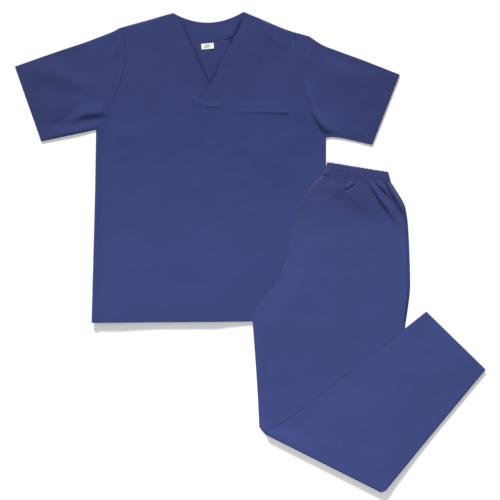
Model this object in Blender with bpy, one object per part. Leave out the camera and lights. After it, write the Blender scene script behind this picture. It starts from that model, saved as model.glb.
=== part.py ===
"""A set of medical scrubs laid out flat on a table: a V-necked top and a pair of trousers.

The top lies face up with its sleeves spread. The trousers are folded in half lengthwise, so that their
legs lie on each other, then laid over the top's lower right corner and folded up once at the knee.
Metres, +Z up. Each cut piece of cloth is its own solid wall, a small gap clear of its neighbours.
"""

import math

import bmesh
import bpy
from mathutils import Matrix, Vector

# Cloth
CLOTH = 0.0010  # a cloth wall
GAP = 0.0003  # between neighbouring pieces
LAYER = CLOTH + GAP
CREASE_RUN = 0.018  # how far a cloth takes to come down from what it lies on

# Top, measured from the middle of its hem: x along the hem, y up towards the neck
HEM_HALF = 0.287
HEM_TILT = 0.0024  # the right hem corner lies this much higher than the middle
NECK_RIGHT = Vector((-0.0910, 0.7404))  # the high points of the neck, on the wearer's right and left
NECK_LEFT = Vector((0.0761, 0.7433))
BACK_NECK_DROP = 0.024
OPENING_RIGHT = Vector((-0.0778, 0.7308))  # where the front's neck edge leaves the back's
OPENING_LEFT = Vector((0.0734, 0.7368))
NECK_CROSSING = Vector((-0.0046, 0.5748))  # the point of the V
BAND_WIDTH = 0.045
BAND_FOOT = 0.0125  # the foot of the bands slopes down by this much from left to right
FOOT_HEIGHT = 0.522
RISE_FROM, RISE_TO = 0.640, 0.668  # over these heights the front climbs onto the back neck facing
CROSS_FROM, CROSS_TO = 0.615, 0.588  # and the left band climbs onto the right one
SHOULDER_RIGHT = Vector((-0.2134, 0.7068))  # the shoulder's end at the armhole
SHOULDER_LEFT = Vector((0.1934, 0.6960))
UNDERARM_RIGHT = Vector((-0.2770, 0.4608))
UNDERARM_LEFT = Vector((0.2743, 0.4409))
CUFF_TOP_RIGHT = Vector((-0.4714, 0.6125))
CUFF_FOOT_RIGHT = Vector((-0.4082, 0.4327))
CUFF_TOP_LEFT = Vector((0.4510, 0.5933))
CUFF_FOOT_LEFT = Vector((0.3854, 0.4246))
POCKET_CORNER = Vector((0.0545, 0.4999))  # its upper corner nearest the middle
POCKET_WIDTH, POCKET_DEPTH, POCKET_TILT, POCKET_CUT = 0.134, 0.146, 1.0, 0.022
LABEL_PLACE, LABEL_SIZE, LABEL_TILT = Vector((-0.0094, 0.6610)), (0.030, 0.0135), 5.0

# Rows of x, y that the curved edges of the top pass through, between their ends
ARMHOLE_RIGHT = [
    (-0.2086, 0.6756), (-0.2066, 0.6396), (-0.2122, 0.5988), (-0.2278, 0.5508), (-0.2518, 0.5028),
]
ARMHOLE_LEFT = [(0.1954, 0.6636), (0.1994, 0.5988), (0.2102, 0.5472), (0.2306, 0.5112), (0.2522, 0.4716)]
SIDE_RIGHT = [(-0.2794, 0.3156), (-0.2830, 0.1716)]
SIDE_LEFT = [(0.2743, 0.3756), (0.2798, 0.2196)]
SHOULDER_DIP_LEFT = [(0.1298, 0.7212), (0.1778, 0.7012)]
SLEEVE_TOP_RIGHT = [(-0.2215, 0.7044), (-0.2398, 0.6948), (-0.3022, 0.6708), (-0.3742, 0.6468)]
SLEEVE_TOP_LEFT = [(0.2338, 0.6852), (0.2662, 0.6641), (0.2978, 0.6516), (0.3698, 0.6252)]
SLEEVE_UNDER_LEFT = [(0.2800, 0.4430), (0.2920, 0.4434), (0.3146, 0.4406)]

# The soft folds of the sleeves: from and to as x, y, then half the fold's width and its height
SLEEVE_FOLDS_RIGHT = [
    ((-0.4450, 0.5900), (-0.2650, 0.6050), 0.040, 0.0022),
    ((-0.4300, 0.4900), (-0.2900, 0.4880), 0.022, 0.0030),
]
SLEEVE_FOLDS_LEFT = [
    ((0.2500, 0.5400), (0.2950, 0.4650), 0.018, 0.0042),
    ((0.2550, 0.6350), (0.4200, 0.5500), 0.045, 0.0020),
]

# Trousers, measured from the point of their crotch
TROUSERS_PLACE = Vector((0.0986, 0.0084))  # that point, in the top's measures
WAIST_TOP = Vector((0.1790, 0.3744)), Vector((0.3250, 0.3509))  # the band's upper edge, left to right
WAIST_FOOT = Vector((0.1692, 0.3444)), Vector((0.3312, 0.3276))  # and its lower edge
BAND_PLY = 0.0018  # one thickness of the elasticated band
GATHERS, GATHER_RISE = 10, 0.0007
FOLD_LEFT, FOLD_RIGHT = Vector((0.0216, -0.2738)), Vector((0.3096, -0.4183))  # the knee fold's outer edge
HEM_INNER, HEM_OUTER = Vector((0.4166, 0.0163)), Vector((0.5587, -0.1229))  # the leg's hem after the fold

# Rows of x, y that the edges of the trousers pass through, from the waist down
SEAT_SEAM = [
    (0.1543, 0.3343), (0.1289, 0.3041), (0.1063, 0.2527), (0.0953, 0.2239), (0.0840, 0.1567),
    (0.0631, 0.0991), (0.0281, 0.0480), (0.0055, 0.0223), (0.0, 0.0020),
]
INSEAM = [(0.0005, -0.0168), (0.0084, -0.1248), (0.0127, -0.1968), (0.0158, -0.2604)]
SIDE_SEAM = [
    (0.3396, 0.3156), (0.3624, 0.2772), (0.3696, 0.2520), (0.3739, 0.2112), (0.3773, 0.1344),
    (0.3780, 0.0720), (0.3734, 0.0288), (0.3653, -0.0252), (0.3131, -0.4008),
]
TURNED_INSEAM = [
    (0.0374, -0.2698), (0.0811, -0.2424), (0.1270, -0.2092), (0.1848, -0.1640), (0.3144, -0.0638),
]
TURNED_SIDE = (0.3192, -0.4123)  # where the folded leg's outer edge starts
FOLD_CORNER_CUT = 0.0135, 0.0040  # how much the fold's left and right corners are rounded off

# The pleats below the waistband: from and to as x, y, then half the pleat's width and its height
PLEATS = [
    ((0.2790, 0.3260), (0.3230, 0.2500), 0.0070, 0.0034),
    ((0.2960, 0.3230), (0.3400, 0.2440), 0.0065, 0.0030),
    ((0.3220, 0.3220), (0.3600, 0.2700), 0.0075, 0.0028),
    ((0.2300, 0.3250), (0.2000, 0.2950), 0.0110, 0.0030),
    ((0.2500, 0.3260), (0.2440, 0.2700), 0.0120, 0.0022),
]

PLEATS_REACH, PLEAT_CELL = 0.235, 0.020  # how far down they run, and the grid they are cut into

# Heights in the folded trousers, counted from what they lie on
CORE = 2 * CLOTH + GAP  # both fronts, folded inside
UNDER, INSIDE, OUTSIDE = 0.0, LAYER, LAYER + CORE + GAP
LEG = OUTSIDE + CLOTH  # the height of one stack of legs
FOLD_AXIS = LEG + GAP / 2  # the knee fold turns about a line at this height, and this far inside its edge
ARC_STEPS = 6

NAVY = (0.047, 0.065, 0.205, 1.0)
OFF_WHITE = (0.80, 0.82, 0.79, 1.0)


def clear_scene():
    for thing in list(bpy.data.objects):
        bpy.data.objects.remove(thing)


def fabric(name, colour, roughness):
    material = bpy.data.materials.new(name)
    material.use_nodes = True
    shader = material.node_tree.nodes["Principled BSDF"]
    shader.inputs["Base Color"].default_value = colour
    shader.inputs["Roughness"].default_value = roughness
    shader.inputs["Metallic"].default_value = 0.0
    return material


def points(rows):
    return [Vector(row) for row in rows]


def curve(rows, steps=3):
    """A smooth line through the rows, which are its ends and what it passes through (Catmull-Rom)."""
    through = points(rows)
    ends = [2 * through[0] - through[1], *through, 2 * through[-1] - through[-2]]
    line = []
    for before, start, stop, after in zip(ends, ends[1:], ends[2:], ends[3:]):
        for step in range(steps):
            t = step / steps
            bend = 2 * before - 5 * start + 4 * stop - after
            twist = 3 * start - before - 3 * stop + after
            line.append(start + 0.5 * ((stop - before) * t + bend * t * t + twist * t**3))
    return [*line, through[-1]]


def smooth(value, low, high):
    """0 before low, 1 after high, and an S-shaped climb between them."""
    t = min(1.0, max(0.0, (value - low) / (high - low)))
    return t * t * (3 - 2 * t)


def across(point, line):
    """How far a point lies to the right of a line that is walked from its first end to its second."""
    start, stop = line
    way = (stop - start).normalized()
    return (point - start).dot(Vector((way.y, -way.x)))


def meeting(first, second):
    """The point where two lines cross, each given by two points."""
    (a, b), (c, d) = first, second
    along, other = b - a, d - c
    return a + along * ((c - a).cross(other) / along.cross(other))


def moved(line, by):
    """The line moved to its right."""
    start, stop = line
    way = (stop - start).normalized()
    shift = Vector((way.y, -way.x)) * by
    return start + shift, stop + shift


def inset(outline, by=GAP / 2):
    """The outline, walked anticlockwise, drawn in by a small distance all round."""
    drawn_in = []
    for before, here, after in zip(outline[-1:] + outline[:-1], outline, outline[1:] + outline[:1]):
        arriving, leaving = (here - before).normalized(), (after - here).normalized()
        inward = Vector((-arriving.y - leaving.y, arriving.x + leaving.x))
        drawn_in.append(here + inward * (by / (1 + arriving.dot(leaving))))
    return drawn_in


def grid(low, high, step, way):
    """Parallel cutting lines, a step apart, along the way given."""
    across_way = Vector((way.y, -way.x))
    lines = []
    place = low
    while place < high:
        lines.append((across_way * place, across_way * place + way))
        place += step
    return lines


def cut_flat(outline, cuts):
    """The outline as flat triangles. Each cut is a line, and the part of the cloth that it divides."""
    flat = bmesh.new()
    flat.faces.new([flat.verts.new((x, y, 0)) for x, y in outline])
    for (start, stop), belongs in cuts:
        way = stop - start
        faces = [face for face in flat.faces if belongs(face.calc_center_median().xy)]
        edges = {edge for face in faces for edge in face.edges}
        corners = {corner for face in faces for corner in face.verts}
        bmesh.ops.bisect_plane(
            flat, geom=[*corners, *edges, *faces], dist=1e-5,
            plane_co=(*start, 0), plane_no=(way.y, -way.x, 0),
        )
    bmesh.ops.triangulate(flat, faces=flat.faces[:], quad_method="BEAUTY", ngon_method="BEAUTY")
    return flat


def everywhere(_):
    return True


def add_object(name, shape, material):
    mesh = bpy.data.meshes.new(name)
    shape.to_mesh(mesh)
    shape.free()
    mesh.materials.append(material)
    thing = bpy.data.objects.new(name, mesh)
    bpy.context.scene.collection.objects.link(thing)
    return thing


def cloth(name, outline, cuts, place, material):
    """A closed wall: place(point, side) gives a pattern point's lower face for side 0, upper for side 1."""
    flat = cut_flat(outline, cuts)
    wall = bmesh.new()
    lower = [wall.verts.new(place(corner.co.xy, 0)) for corner in flat.verts]
    upper = [wall.verts.new(place(corner.co.xy, 1)) for corner in flat.verts]
    flat.verts.index_update()
    for face in flat.faces:
        corners = [corner.index for corner in face.verts]
        wall.faces.new([upper[i] for i in corners])
        wall.faces.new([lower[i] for i in reversed(corners)])
    for edge in flat.edges:
        if edge.is_boundary:
            side = edge.link_loops[0]
            start, stop = side.vert.index, side.link_loop_next.vert.index
            wall.faces.new([lower[start], lower[stop], upper[stop], upper[start]])
    flat.free()
    bmesh.ops.triangulate(wall, faces=wall.faces[:])
    return add_object(name, wall, material)


def laid(level):
    """Places a cloth whose lower face lies at the height level(point)."""
    return lambda point, side: (point.x, point.y, level(point) + side * CLOTH)


def lift(point, folds):
    """How far the folds raise the cloth. Each is a ridge along a line, rounded across and faded at its end."""
    height = 0.0
    for start, stop, half_width, rise in folds:
        start, way = Vector(start), Vector(stop) - Vector(start)
        along = (point - start).dot(way) / way.length_squared
        off = (point - start - way * min(1.0, max(0.0, along))).length
        height += rise * math.exp(-((off / half_width) ** 2)) * (1 - 0.6 * smooth(along, 0.3, 1.0))
    return height


# The top

SIDE_OF_TOP = UNDERARM_LEFT, Vector((HEM_HALF, HEM_TILT))
HEM_OF_TOP = Vector((HEM_HALF, HEM_TILT)), Vector((-HEM_HALF, -HEM_TILT))
RIGHT_EDGE = OPENING_RIGHT, NECK_CROSSING  # the two neck edges of the V, walked down
LEFT_EDGE = OPENING_LEFT, NECK_CROSSING
RIGHT_SEAM = moved(RIGHT_EDGE, BAND_WIDTH)
LEFT_SEAM = moved(LEFT_EDGE, -BAND_WIDTH)
FOOT_LINE = Vector((-0.0286, FOOT_HEIGHT)), Vector((0.0146, FOOT_HEIGHT - BAND_FOOT))


def front_level(point):
    return LAYER * (1 + smooth(point.y, RISE_FROM, RISE_TO))


def left_band_level(point):
    return LAYER * (1 + max(smooth(point.y, RISE_FROM, RISE_TO), 1 - smooth(point.y, CROSS_TO, CROSS_FROM)))


def band_shoulder(neck, shoulder, seam):
    return meeting((neck, Vector(shoulder)), seam)


def armhole(shoulder, rows, underarm):
    return curve([shoulder, *rows, underarm], 2)


def top_edges():
    """The edges that the front and the back share, as lines walked down each side from the shoulder."""
    right = [*armhole(SHOULDER_RIGHT, ARMHOLE_RIGHT, UNDERARM_RIGHT), *points(SIDE_RIGHT), HEM_OF_TOP[1]]
    left = [*armhole(SHOULDER_LEFT, ARMHOLE_LEFT, UNDERARM_LEFT), *points(SIDE_LEFT), HEM_OF_TOP[0]]
    return right, left


def band_corners():
    """Where the V's seams meet the shoulders and the foot of the bands."""
    right_top = band_shoulder(NECK_RIGHT, SHOULDER_RIGHT, RIGHT_SEAM)
    left_top = band_shoulder(NECK_LEFT, SHOULDER_DIP_LEFT[0], LEFT_SEAM)
    return right_top, left_top, meeting(RIGHT_SEAM, FOOT_LINE), meeting(LEFT_SEAM, FOOT_LINE)


def neck_curve(steps):
    """The back neck edge, from the wearer's right to the left: a shallow arc of a parabola."""
    across_neck = NECK_LEFT - NECK_RIGHT
    return [
        NECK_RIGHT + across_neck * (i / steps)
        - Vector((0, 4 * BACK_NECK_DROP * (i / steps) * (1 - i / steps)))
        for i in range(steps + 1)
    ]


def panel_cuts(step):
    ways = grid(-0.30, 0.30, step, Vector((0, 1))), grid(-0.80, 0.02, step, Vector((1, 0)))
    return [(line, everywhere) for lines in ways for line in lines]


def rise_cuts(low, high, steps=4):
    heights = [low + (high - low) * i / steps for i in range(steps + 1)]
    return [((Vector((0, height)), Vector((1, height))), everywhere) for height in heights]


def back_panel(navy):
    right, left = top_edges()
    shoulder_left = reversed([Vector(p) for p in SHOULDER_DIP_LEFT])
    outline = [*right, *reversed(left), *shoulder_left, *reversed(neck_curve(8))]
    cloth("top_back", inset(outline), panel_cuts(0.095), laid(lambda _: 0.0), navy)


def front_panel(navy):
    right, left = top_edges()
    right_top, left_top, right_foot, left_foot = band_corners()
    outline = [
        *right, *reversed(left), *reversed(points(SHOULDER_DIP_LEFT)),
        left_top, left_foot, right_foot, right_top,
    ]
    cloth(
        "top_front", inset(outline), panel_cuts(0.095) + rise_cuts(RISE_FROM, RISE_TO),
        laid(front_level), navy,
    )


def neck_bands(navy):
    """The two bands along the V. The wearer's left one crosses over the right one at the foot."""
    right_top, left_top, right_foot, left_foot = band_corners()
    right_band = [
        right_top, right_foot, left_foot, meeting(RIGHT_EDGE, LEFT_SEAM), OPENING_RIGHT, NECK_RIGHT,
    ]
    left_band = [
        left_top, NECK_LEFT, OPENING_LEFT, meeting(LEFT_EDGE, RIGHT_SEAM), right_foot, left_foot,
    ]
    cloth(
        "neck_band_right", inset(right_band), rise_cuts(RISE_FROM, RISE_TO), laid(front_level), navy,
    )
    cuts = rise_cuts(RISE_FROM, RISE_TO) + rise_cuts(CROSS_TO, CROSS_FROM)
    cloth("neck_band_left", inset(left_band), cuts, laid(left_band_level), navy)


def neck_facing(navy):
    """The strip inside the back neck, as wide as the bands, from shoulder to shoulder."""
    right_top, left_top, _, _ = band_corners()
    edge = neck_curve(8)
    lower = []
    for before, here, after in zip(edge, edge[1:], edge[2:]):
        way = (after - before).normalized()
        lower.append(here + Vector((way.y, -way.x)) * BAND_WIDTH)
    lower = [point for point in lower if right_top.x < point.x < left_top.x]
    outline = [right_top, *lower, left_top, *reversed(edge)]
    cloth("neck_facing", inset(outline), [], laid(lambda _: LAYER), navy)


def turned(corner, degrees, rows):
    """Points measured from a corner, turned by an angle about it."""
    angle = math.radians(degrees)
    along, up = Vector((math.cos(angle), math.sin(angle))), Vector((-math.sin(angle), math.cos(angle)))
    return [corner + along * x + up * y for x, y in rows]


def neck_label(white):
    half_width, half_height = LABEL_SIZE[0] / 2, LABEL_SIZE[1] / 2
    rows = [
        (-half_width, -half_height), (half_width, -half_height),
        (half_width, half_height), (-half_width, half_height),
    ]
    cloth("neck_label", turned(LABEL_PLACE, LABEL_TILT, rows), [], laid(lambda _: LAYER), white)


def chest_pocket(navy):
    """A patch on the wearer's left chest, with its lower corners cut off."""
    rows = [
        (0, -POCKET_DEPTH + POCKET_CUT), (POCKET_CUT, -POCKET_DEPTH),
        (POCKET_WIDTH - POCKET_CUT, -POCKET_DEPTH),
        (POCKET_WIDTH, -POCKET_DEPTH + POCKET_CUT), (POCKET_WIDTH, 0), (0, 0),
    ]
    outline = turned(POCKET_CORNER, -POCKET_TILT, rows)
    cloth("chest_pocket", outline, panel_cuts(0.07), laid(lambda point: front_level(point) + LAYER), navy)


def shares(line):
    """How far along the line each of its points is, from 0 to 1."""
    walked = [0.0]
    for start, stop in zip(line, line[1:]):
        walked.append(walked[-1] + (stop - start).length)
    return [distance / walked[-1] for distance in walked]


def at(line, share):
    """The point at a share of a line's length."""
    walked = shares(line)
    for start, stop, low, high in zip(line, line[1:], walked, walked[1:]):
        if share <= high:
            return start.lerp(stop, (share - low) / (high - low))
    return line[-1]


def patch(hole, cuff, top, under):
    """A point of the sleeve at shares of its length and of its width, blended from its four edges."""

    def point(along, over):
        between = at(hole, over).lerp(at(cuff, over), along) + at(top, along).lerp(at(under, along), over)
        return between - hole[0].lerp(cuff[0], along).lerp(hole[-1].lerp(cuff[-1], along), over)

    return point


def sleeve(name, seam, top_edge, cuff_foot, under_edge, folds, navy):
    """A flattened tube, open at the armhole and the cuff: rings across the sleeve, each with a slit inside.

    The edges are walked from the shoulder: the armhole seam down, the top edge out, the underarm edge out.
    """
    outline = [*seam[:-1], *under_edge[:-1], cuff_foot, *reversed(top_edge[1:])]
    clockwise = seam[-1].x < seam[0].x
    drawn = inset(outline[::-1])[::-1] if clockwise else inset(outline)
    first, second = len(seam) - 1, len(seam) - 1 + len(under_edge) - 1
    hole, under = drawn[: first + 1], drawn[first : second + 1]
    top = [drawn[0], *reversed(drawn[second + 1 :])]
    point = patch(hole, [top[-1], under[-1]], top, under)
    over = shares(hole)
    columns, rings = len(over), 8
    shape = bmesh.new()
    outer, inner = [], []
    for ring in range(rings):
        along = ring / (rings - 1)
        width = (point(along, 1) - point(along, 0)).length
        edge = CLOTH / width
        slit = [edge + share * (1 - 2 * edge) for share in over]

        def row(places, height, folded):
            for share in places:
                place = point(along, share)
                raised = folded * lift(place, folds) * math.sin(math.pi * share) ** 0.5
                yield shape.verts.new((place.x, place.y, height + raised))

        outer.append([*row(over, LAYER + CLOTH, 1), *row(reversed(over), 0.0, 0)])
        inner.append([*row(slit, LAYER, 1), *row(reversed(slit), CLOTH, 0)])
    for rings_of, turn in ((outer, 1), (inner, -1)):
        for this, following in zip(rings_of, rings_of[1:]):
            for i in range(len(this)):
                j = (i + 1) % len(this)
                shape.faces.new([this[i], this[j], following[j], following[i]][::turn])
    for end, turn in ((0, -1), (-1, 1)):
        for i in range(2 * columns):
            j = (i + 1) % (2 * columns)
            shape.faces.new([outer[end][i], outer[end][j], inner[end][j], inner[end][i]][::turn])
    bmesh.ops.triangulate(shape, faces=shape.faces[:])
    bmesh.ops.recalc_face_normals(shape, faces=shape.faces[:])
    add_object(name, shape, navy)


def sleeves(navy):
    right_top = [SHOULDER_RIGHT, *curve([*SLEEVE_TOP_RIGHT, CUFF_TOP_RIGHT], 2)]
    left_top = [SHOULDER_LEFT, *curve([*SLEEVE_TOP_LEFT, CUFF_TOP_LEFT], 2)]
    sleeve(
        "sleeve_right", armhole(SHOULDER_RIGHT, ARMHOLE_RIGHT, UNDERARM_RIGHT), right_top,
        CUFF_FOOT_RIGHT, [UNDERARM_RIGHT, CUFF_FOOT_RIGHT], SLEEVE_FOLDS_RIGHT, navy,
    )
    sleeve(
        "sleeve_left", armhole(SHOULDER_LEFT, ARMHOLE_LEFT, UNDERARM_LEFT), left_top,
        CUFF_FOOT_LEFT, [UNDERARM_LEFT, *points(SLEEVE_UNDER_LEFT), CUFF_FOOT_LEFT], SLEEVE_FOLDS_LEFT, navy,
    )


# The trousers

FOLD_LINE = FOLD_RIGHT, FOLD_LEFT  # walked so that the legs lie to its right
UNDER_SIDE = Vector(SIDE_SEAM[-2]), Vector(SIDE_SEAM[-1])  # the lower leg's outer edge, below the turned leg


def to_top(point):
    return point + TROUSERS_PLACE


def resting(point):
    """The height that the trousers lie at: over the top where it is below them, else on the table."""
    place = to_top(point)
    outside = max(-across(place, SIDE_OF_TOP), -across(place, HEM_OF_TOP))
    return 2 * LAYER * (1 - smooth(outside, 0, CREASE_RUN))


def turned_drop(point):
    """How far the turned-up leg comes down, beyond the outer edge of the leg below it."""
    return (LEG + GAP) * smooth(-across(point, UNDER_SIDE), 0, 1.4 * CREASE_RUN)


def around_fold(ply, raise_by=lambda _: 0.0, thickness=CLOTH):
    """Places a ply of the folded trousers, whose pattern runs straight on past the knee fold.

    Past the fold's axis the pattern bends round it through half a turn, then lies back over the leg.
    Returns the placing function, the one that unfolds a turned point, and the length of the bend.
    """
    bend = math.pi * (FOLD_AXIS - ply - thickness / 2)

    def place(point, side):
        height = ply + side * thickness
        inside = across(point, FOLD_LINE)
        past = FOLD_AXIS - inside
        if past <= 0:
            return (*to_top(point), resting(point) + height + raise_by(point))
        radius, angle = FOLD_AXIS - height, math.pi * min(1.0, past / bend)
        inside_now = FOLD_AXIS - radius * math.sin(angle) + max(0.0, past - bend)
        put = point + inward * (inside_now - inside)
        drop = turned_drop(put) * (past > bend)
        return (*to_top(put), FOLD_AXIS - radius * math.cos(angle) - drop)

    def unfold(point):
        inside = across(point, FOLD_LINE)
        return point + inward * (2 * FOLD_AXIS - inside - bend - inside)

    way = (FOLD_LINE[1] - FOLD_LINE[0]).normalized()
    inward = Vector((way.y, -way.x))
    return place, unfold, bend


def trouser_ply(name, ply, edge, material, raise_by=lambda _: 0.0, thickness=CLOTH, fine=()):
    """One ply of the stacked legs, from the waist down, round the knee fold and up to the hem."""
    place, unfold, bend = around_fold(ply, raise_by, thickness)
    way = (FOLD_RIGHT - FOLD_LEFT).normalized()
    inward = Vector((-way.y, way.x))
    mid_fold = inward * (FOLD_AXIS - bend / 2)
    left_cut, right_cut = FOLD_CORNER_CUT
    down = [WAIST_FOOT[0], *curve(SEAT_SEAM, 2), *points(INSEAM)]
    up = [*points(reversed(SIDE_SEAM)), WAIST_FOOT[1]]
    turned_up = [*points(TURNED_INSEAM), HEM_INNER, HEM_OUTER, Vector(TURNED_SIDE)]
    outline = [
        *down, FOLD_LEFT + way * left_cut + mid_fold, *[unfold(point) for point in turned_up],
        FOLD_RIGHT - way * right_cut + mid_fold, *up,
    ]

    def on_legs(point):
        return across(point, FOLD_LINE) > FOLD_AXIS - 1e-4

    def on_turned(point):
        return across(point, FOLD_LINE) < FOLD_AXIS - bend + 1e-4

    cuts = [(moved(FOLD_LINE, FOLD_AXIS - bend * i / ARC_STEPS), everywhere) for i in range(ARC_STEPS + 1)]
    steps = 4
    for step in range(steps + 1):
        run = CREASE_RUN * step / steps
        for edge_line in (SIDE_OF_TOP, HEM_OF_TOP):
            start, stop = moved(edge_line, -run)
            cuts.append(((start - TROUSERS_PLACE, stop - TROUSERS_PLACE), on_legs))
        start, stop = moved(UNDER_SIDE, -1.4 * run)
        cuts.append(((unfold(start), unfold(stop)), on_turned))
    cuts += [(line, everywhere) for line in grid(-0.75, 0.40, 0.10, way)]
    return cloth(name, inset(outline, edge), [*cuts, *fine], place, material)


def pleat_cuts():
    """A coarse grid under the waistband, then lines along each pleat at its crest and down both flanks."""

    def gathered(point):
        return point.y > PLEATS_REACH

    lines = grid(0.15, 0.38, PLEAT_CELL, Vector((0, 1)))
    lines += grid(-0.36, -PLEATS_REACH, PLEAT_CELL, Vector((1, 0)))
    cuts = [(line, gathered) for line in lines]
    for start, stop, half_width, _ in PLEATS:
        start, stop = Vector(start), Vector(stop)
        way, middle, reach = (stop - start).normalized(), (start + stop) / 2, (stop - start).length / 2
        limits = reach + half_width, 1.8 * half_width + PLEAT_CELL / 2

        def near(point, way=way, middle=middle, limits=limits):
            off = point - middle
            return abs(off.dot(way)) < limits[0] and abs(off.cross(way)) < limits[1]

        cuts += [((moved((start, stop), half_width * share)), near) for share in (-1.8, -0.9, 0, 0.9, 1.8)]
    return cuts


def trouser_legs(navy):
    """The stacked legs: the left back under, both fronts folded inside, and the right back outside."""
    trouser_ply("trouser_back_left", UNDER, GAP / 2, navy)
    trouser_ply("trouser_fronts", INSIDE, 0.0022, navy, thickness=CORE)
    trouser_ply(
        "trouser_back_right", OUTSIDE, 0.0018, navy,
        raise_by=lambda point: lift(point, PLEATS), fine=pleat_cuts(),
    )


def waistband(navy):
    """The elasticated band, a loop folded flat with the legs: four plies joined by turns at their ends.

    Its path is walked at the middle of its thickness: share 0 to 1 along the waist, and a height.
    """
    width = (WAIST_TOP[1] - WAIST_TOP[0]).length
    pitch = BAND_PLY + GAP
    plies = [BAND_PLY / 2 + ply * pitch for ply in range(4)]
    near, far = 3 * pitch / 2 + BAND_PLY / 2, width - (pitch + BAND_PLY) / 2
    runs = [(0, near, far), (1, far, near), (2, near, far), (3, far, near)]
    turn_steps = 5
    path = []
    for ply, start, stop in runs:
        steps = 4 * GATHERS if ply == 3 else GATHERS
        outward = -1 if ply % 2 == 0 else 1
        for step in range(steps + 1):
            share = step / steps
            gather = GATHER_RISE * math.sin(math.pi * GATHERS * share) ** 2 if ply == 3 else 0.0
            path.append((start + (stop - start) * share, plies[ply] + gather, 0.0, outward))
        right, next_ply = stop == far, (ply + 1) % 4
        middle, radius = (plies[ply] + plies[next_ply]) / 2, abs(plies[next_ply] - plies[ply]) / 2
        for step in range(1, turn_steps):
            angle = math.pi * step / turn_steps
            swing = math.sin(angle) * (1 if right else -1)
            rise = -math.cos(angle) * (1 if plies[next_ply] > plies[ply] else -1)
            facing = 1 if plies[next_ply] > plies[ply] and right else -1
            facing = 1 if ply == 3 else facing
            path.append((stop + radius * swing, middle + radius * rise, swing * facing, rise * facing))
    shape = bmesh.new()
    sections = []
    for along, height, lean, stand in path:
        section = []
        for face, edge in ((1, WAIST_TOP), (1, WAIST_FOOT), (-1, WAIST_FOOT), (-1, WAIST_TOP)):
            share = (along + face * lean * BAND_PLY / 2) / width
            place = edge[0].lerp(edge[1], share)
            up = (WAIST_TOP[0] - WAIST_FOOT[0]).normalized() * (GAP if edge is WAIST_FOOT else 0.0)
            put = to_top(place + up)
            base = resting(place)
            section.append(shape.verts.new((put.x, put.y, base + height + face * stand * BAND_PLY / 2)))
        sections.append(section)
    for this, following in zip(sections, sections[1:] + sections[:1]):
        for i in range(4):
            j = (i + 1) % 4
            shape.faces.new([this[i], this[j], following[j], following[i]])
    bmesh.ops.triangulate(shape, faces=shape.faces[:])
    bmesh.ops.recalc_face_normals(shape, faces=shape.faces[:])
    add_object("trouser_waistband", shape, navy)


def centre_all():
    """Moves the set so that the middle of its box stands over the origin."""
    meshes = [thing.data for thing in bpy.context.scene.objects]
    corners = [vertex.co for mesh in meshes for vertex in mesh.vertices]
    middle = [(min(c[axis] for c in corners) + max(c[axis] for c in corners)) / 2 for axis in range(2)]
    for mesh in meshes:
        mesh.transform(Matrix.Translation((-middle[0], -middle[1], 0)))


def main():
    clear_scene()
    navy = fabric("navy_poplin", NAVY, 0.85)
    white = fabric("woven_label", OFF_WHITE, 0.7)
    back_panel(navy)
    front_panel(navy)
    neck_bands(navy)
    neck_facing(navy)
    neck_label(white)
    chest_pocket(navy)
    sleeves(navy)
    trouser_legs(navy)
    waistband(navy)
    centre_all()


main()
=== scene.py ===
"""Looks for a laid-out set of medical scrubs: a V-necked top, and trousers folded over its lower corner.

Every cut piece of cloth is a thin shell worked out with numpy. A flat piece is planned as a grid of pattern
points, a Coons patch between its four edges, and a placing function gives each point its height: the layers
it lies on, then soft folds, swells and puckers added one on another. Metres, +Z up.
"""

import bpy
import numpy as np
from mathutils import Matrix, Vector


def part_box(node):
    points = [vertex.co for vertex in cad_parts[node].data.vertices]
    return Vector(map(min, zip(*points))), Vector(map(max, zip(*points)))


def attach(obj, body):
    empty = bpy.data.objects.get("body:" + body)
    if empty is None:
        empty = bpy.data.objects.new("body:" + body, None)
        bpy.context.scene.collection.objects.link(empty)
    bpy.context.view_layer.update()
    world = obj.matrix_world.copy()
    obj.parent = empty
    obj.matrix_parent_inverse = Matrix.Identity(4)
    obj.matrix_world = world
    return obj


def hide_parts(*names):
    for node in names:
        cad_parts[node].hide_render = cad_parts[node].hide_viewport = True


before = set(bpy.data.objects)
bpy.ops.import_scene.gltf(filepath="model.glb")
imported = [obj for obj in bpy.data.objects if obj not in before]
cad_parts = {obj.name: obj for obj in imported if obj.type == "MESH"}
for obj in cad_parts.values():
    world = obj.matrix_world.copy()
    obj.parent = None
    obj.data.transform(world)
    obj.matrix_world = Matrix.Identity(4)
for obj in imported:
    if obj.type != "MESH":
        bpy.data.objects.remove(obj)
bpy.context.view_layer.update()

# Cloth and layers
CLOTH = 0.0005  # the thickness of one ply
REST_TOP = 0.0014  # the height at which the trousers lie on the top
SLEEVE_RADIUS = 0.0009  # of the turn at a sleeve's edges
WELD = 2e-6  # plan points nearer than this are one
TAU = 2 * np.pi  # a whole turn

# The top's own measures: x along the hem from its middle, y up to the neck
back_low, back_high = (np.array(corner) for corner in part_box("top_back"))
HEM_HALF, HEM_TILT, HEM_SHORT = 0.287, 0.0024, 0.00015
TOP = np.array([(back_low[0] + back_high[0]) / 2, back_low[1] + HEM_TILT - HEM_SHORT])
TROUSERS = TOP + (0.0986, 0.0084)  # the point of the crotch


def row(*numbers):
    """The numbers as one array."""
    return np.array(numbers, float)


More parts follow.
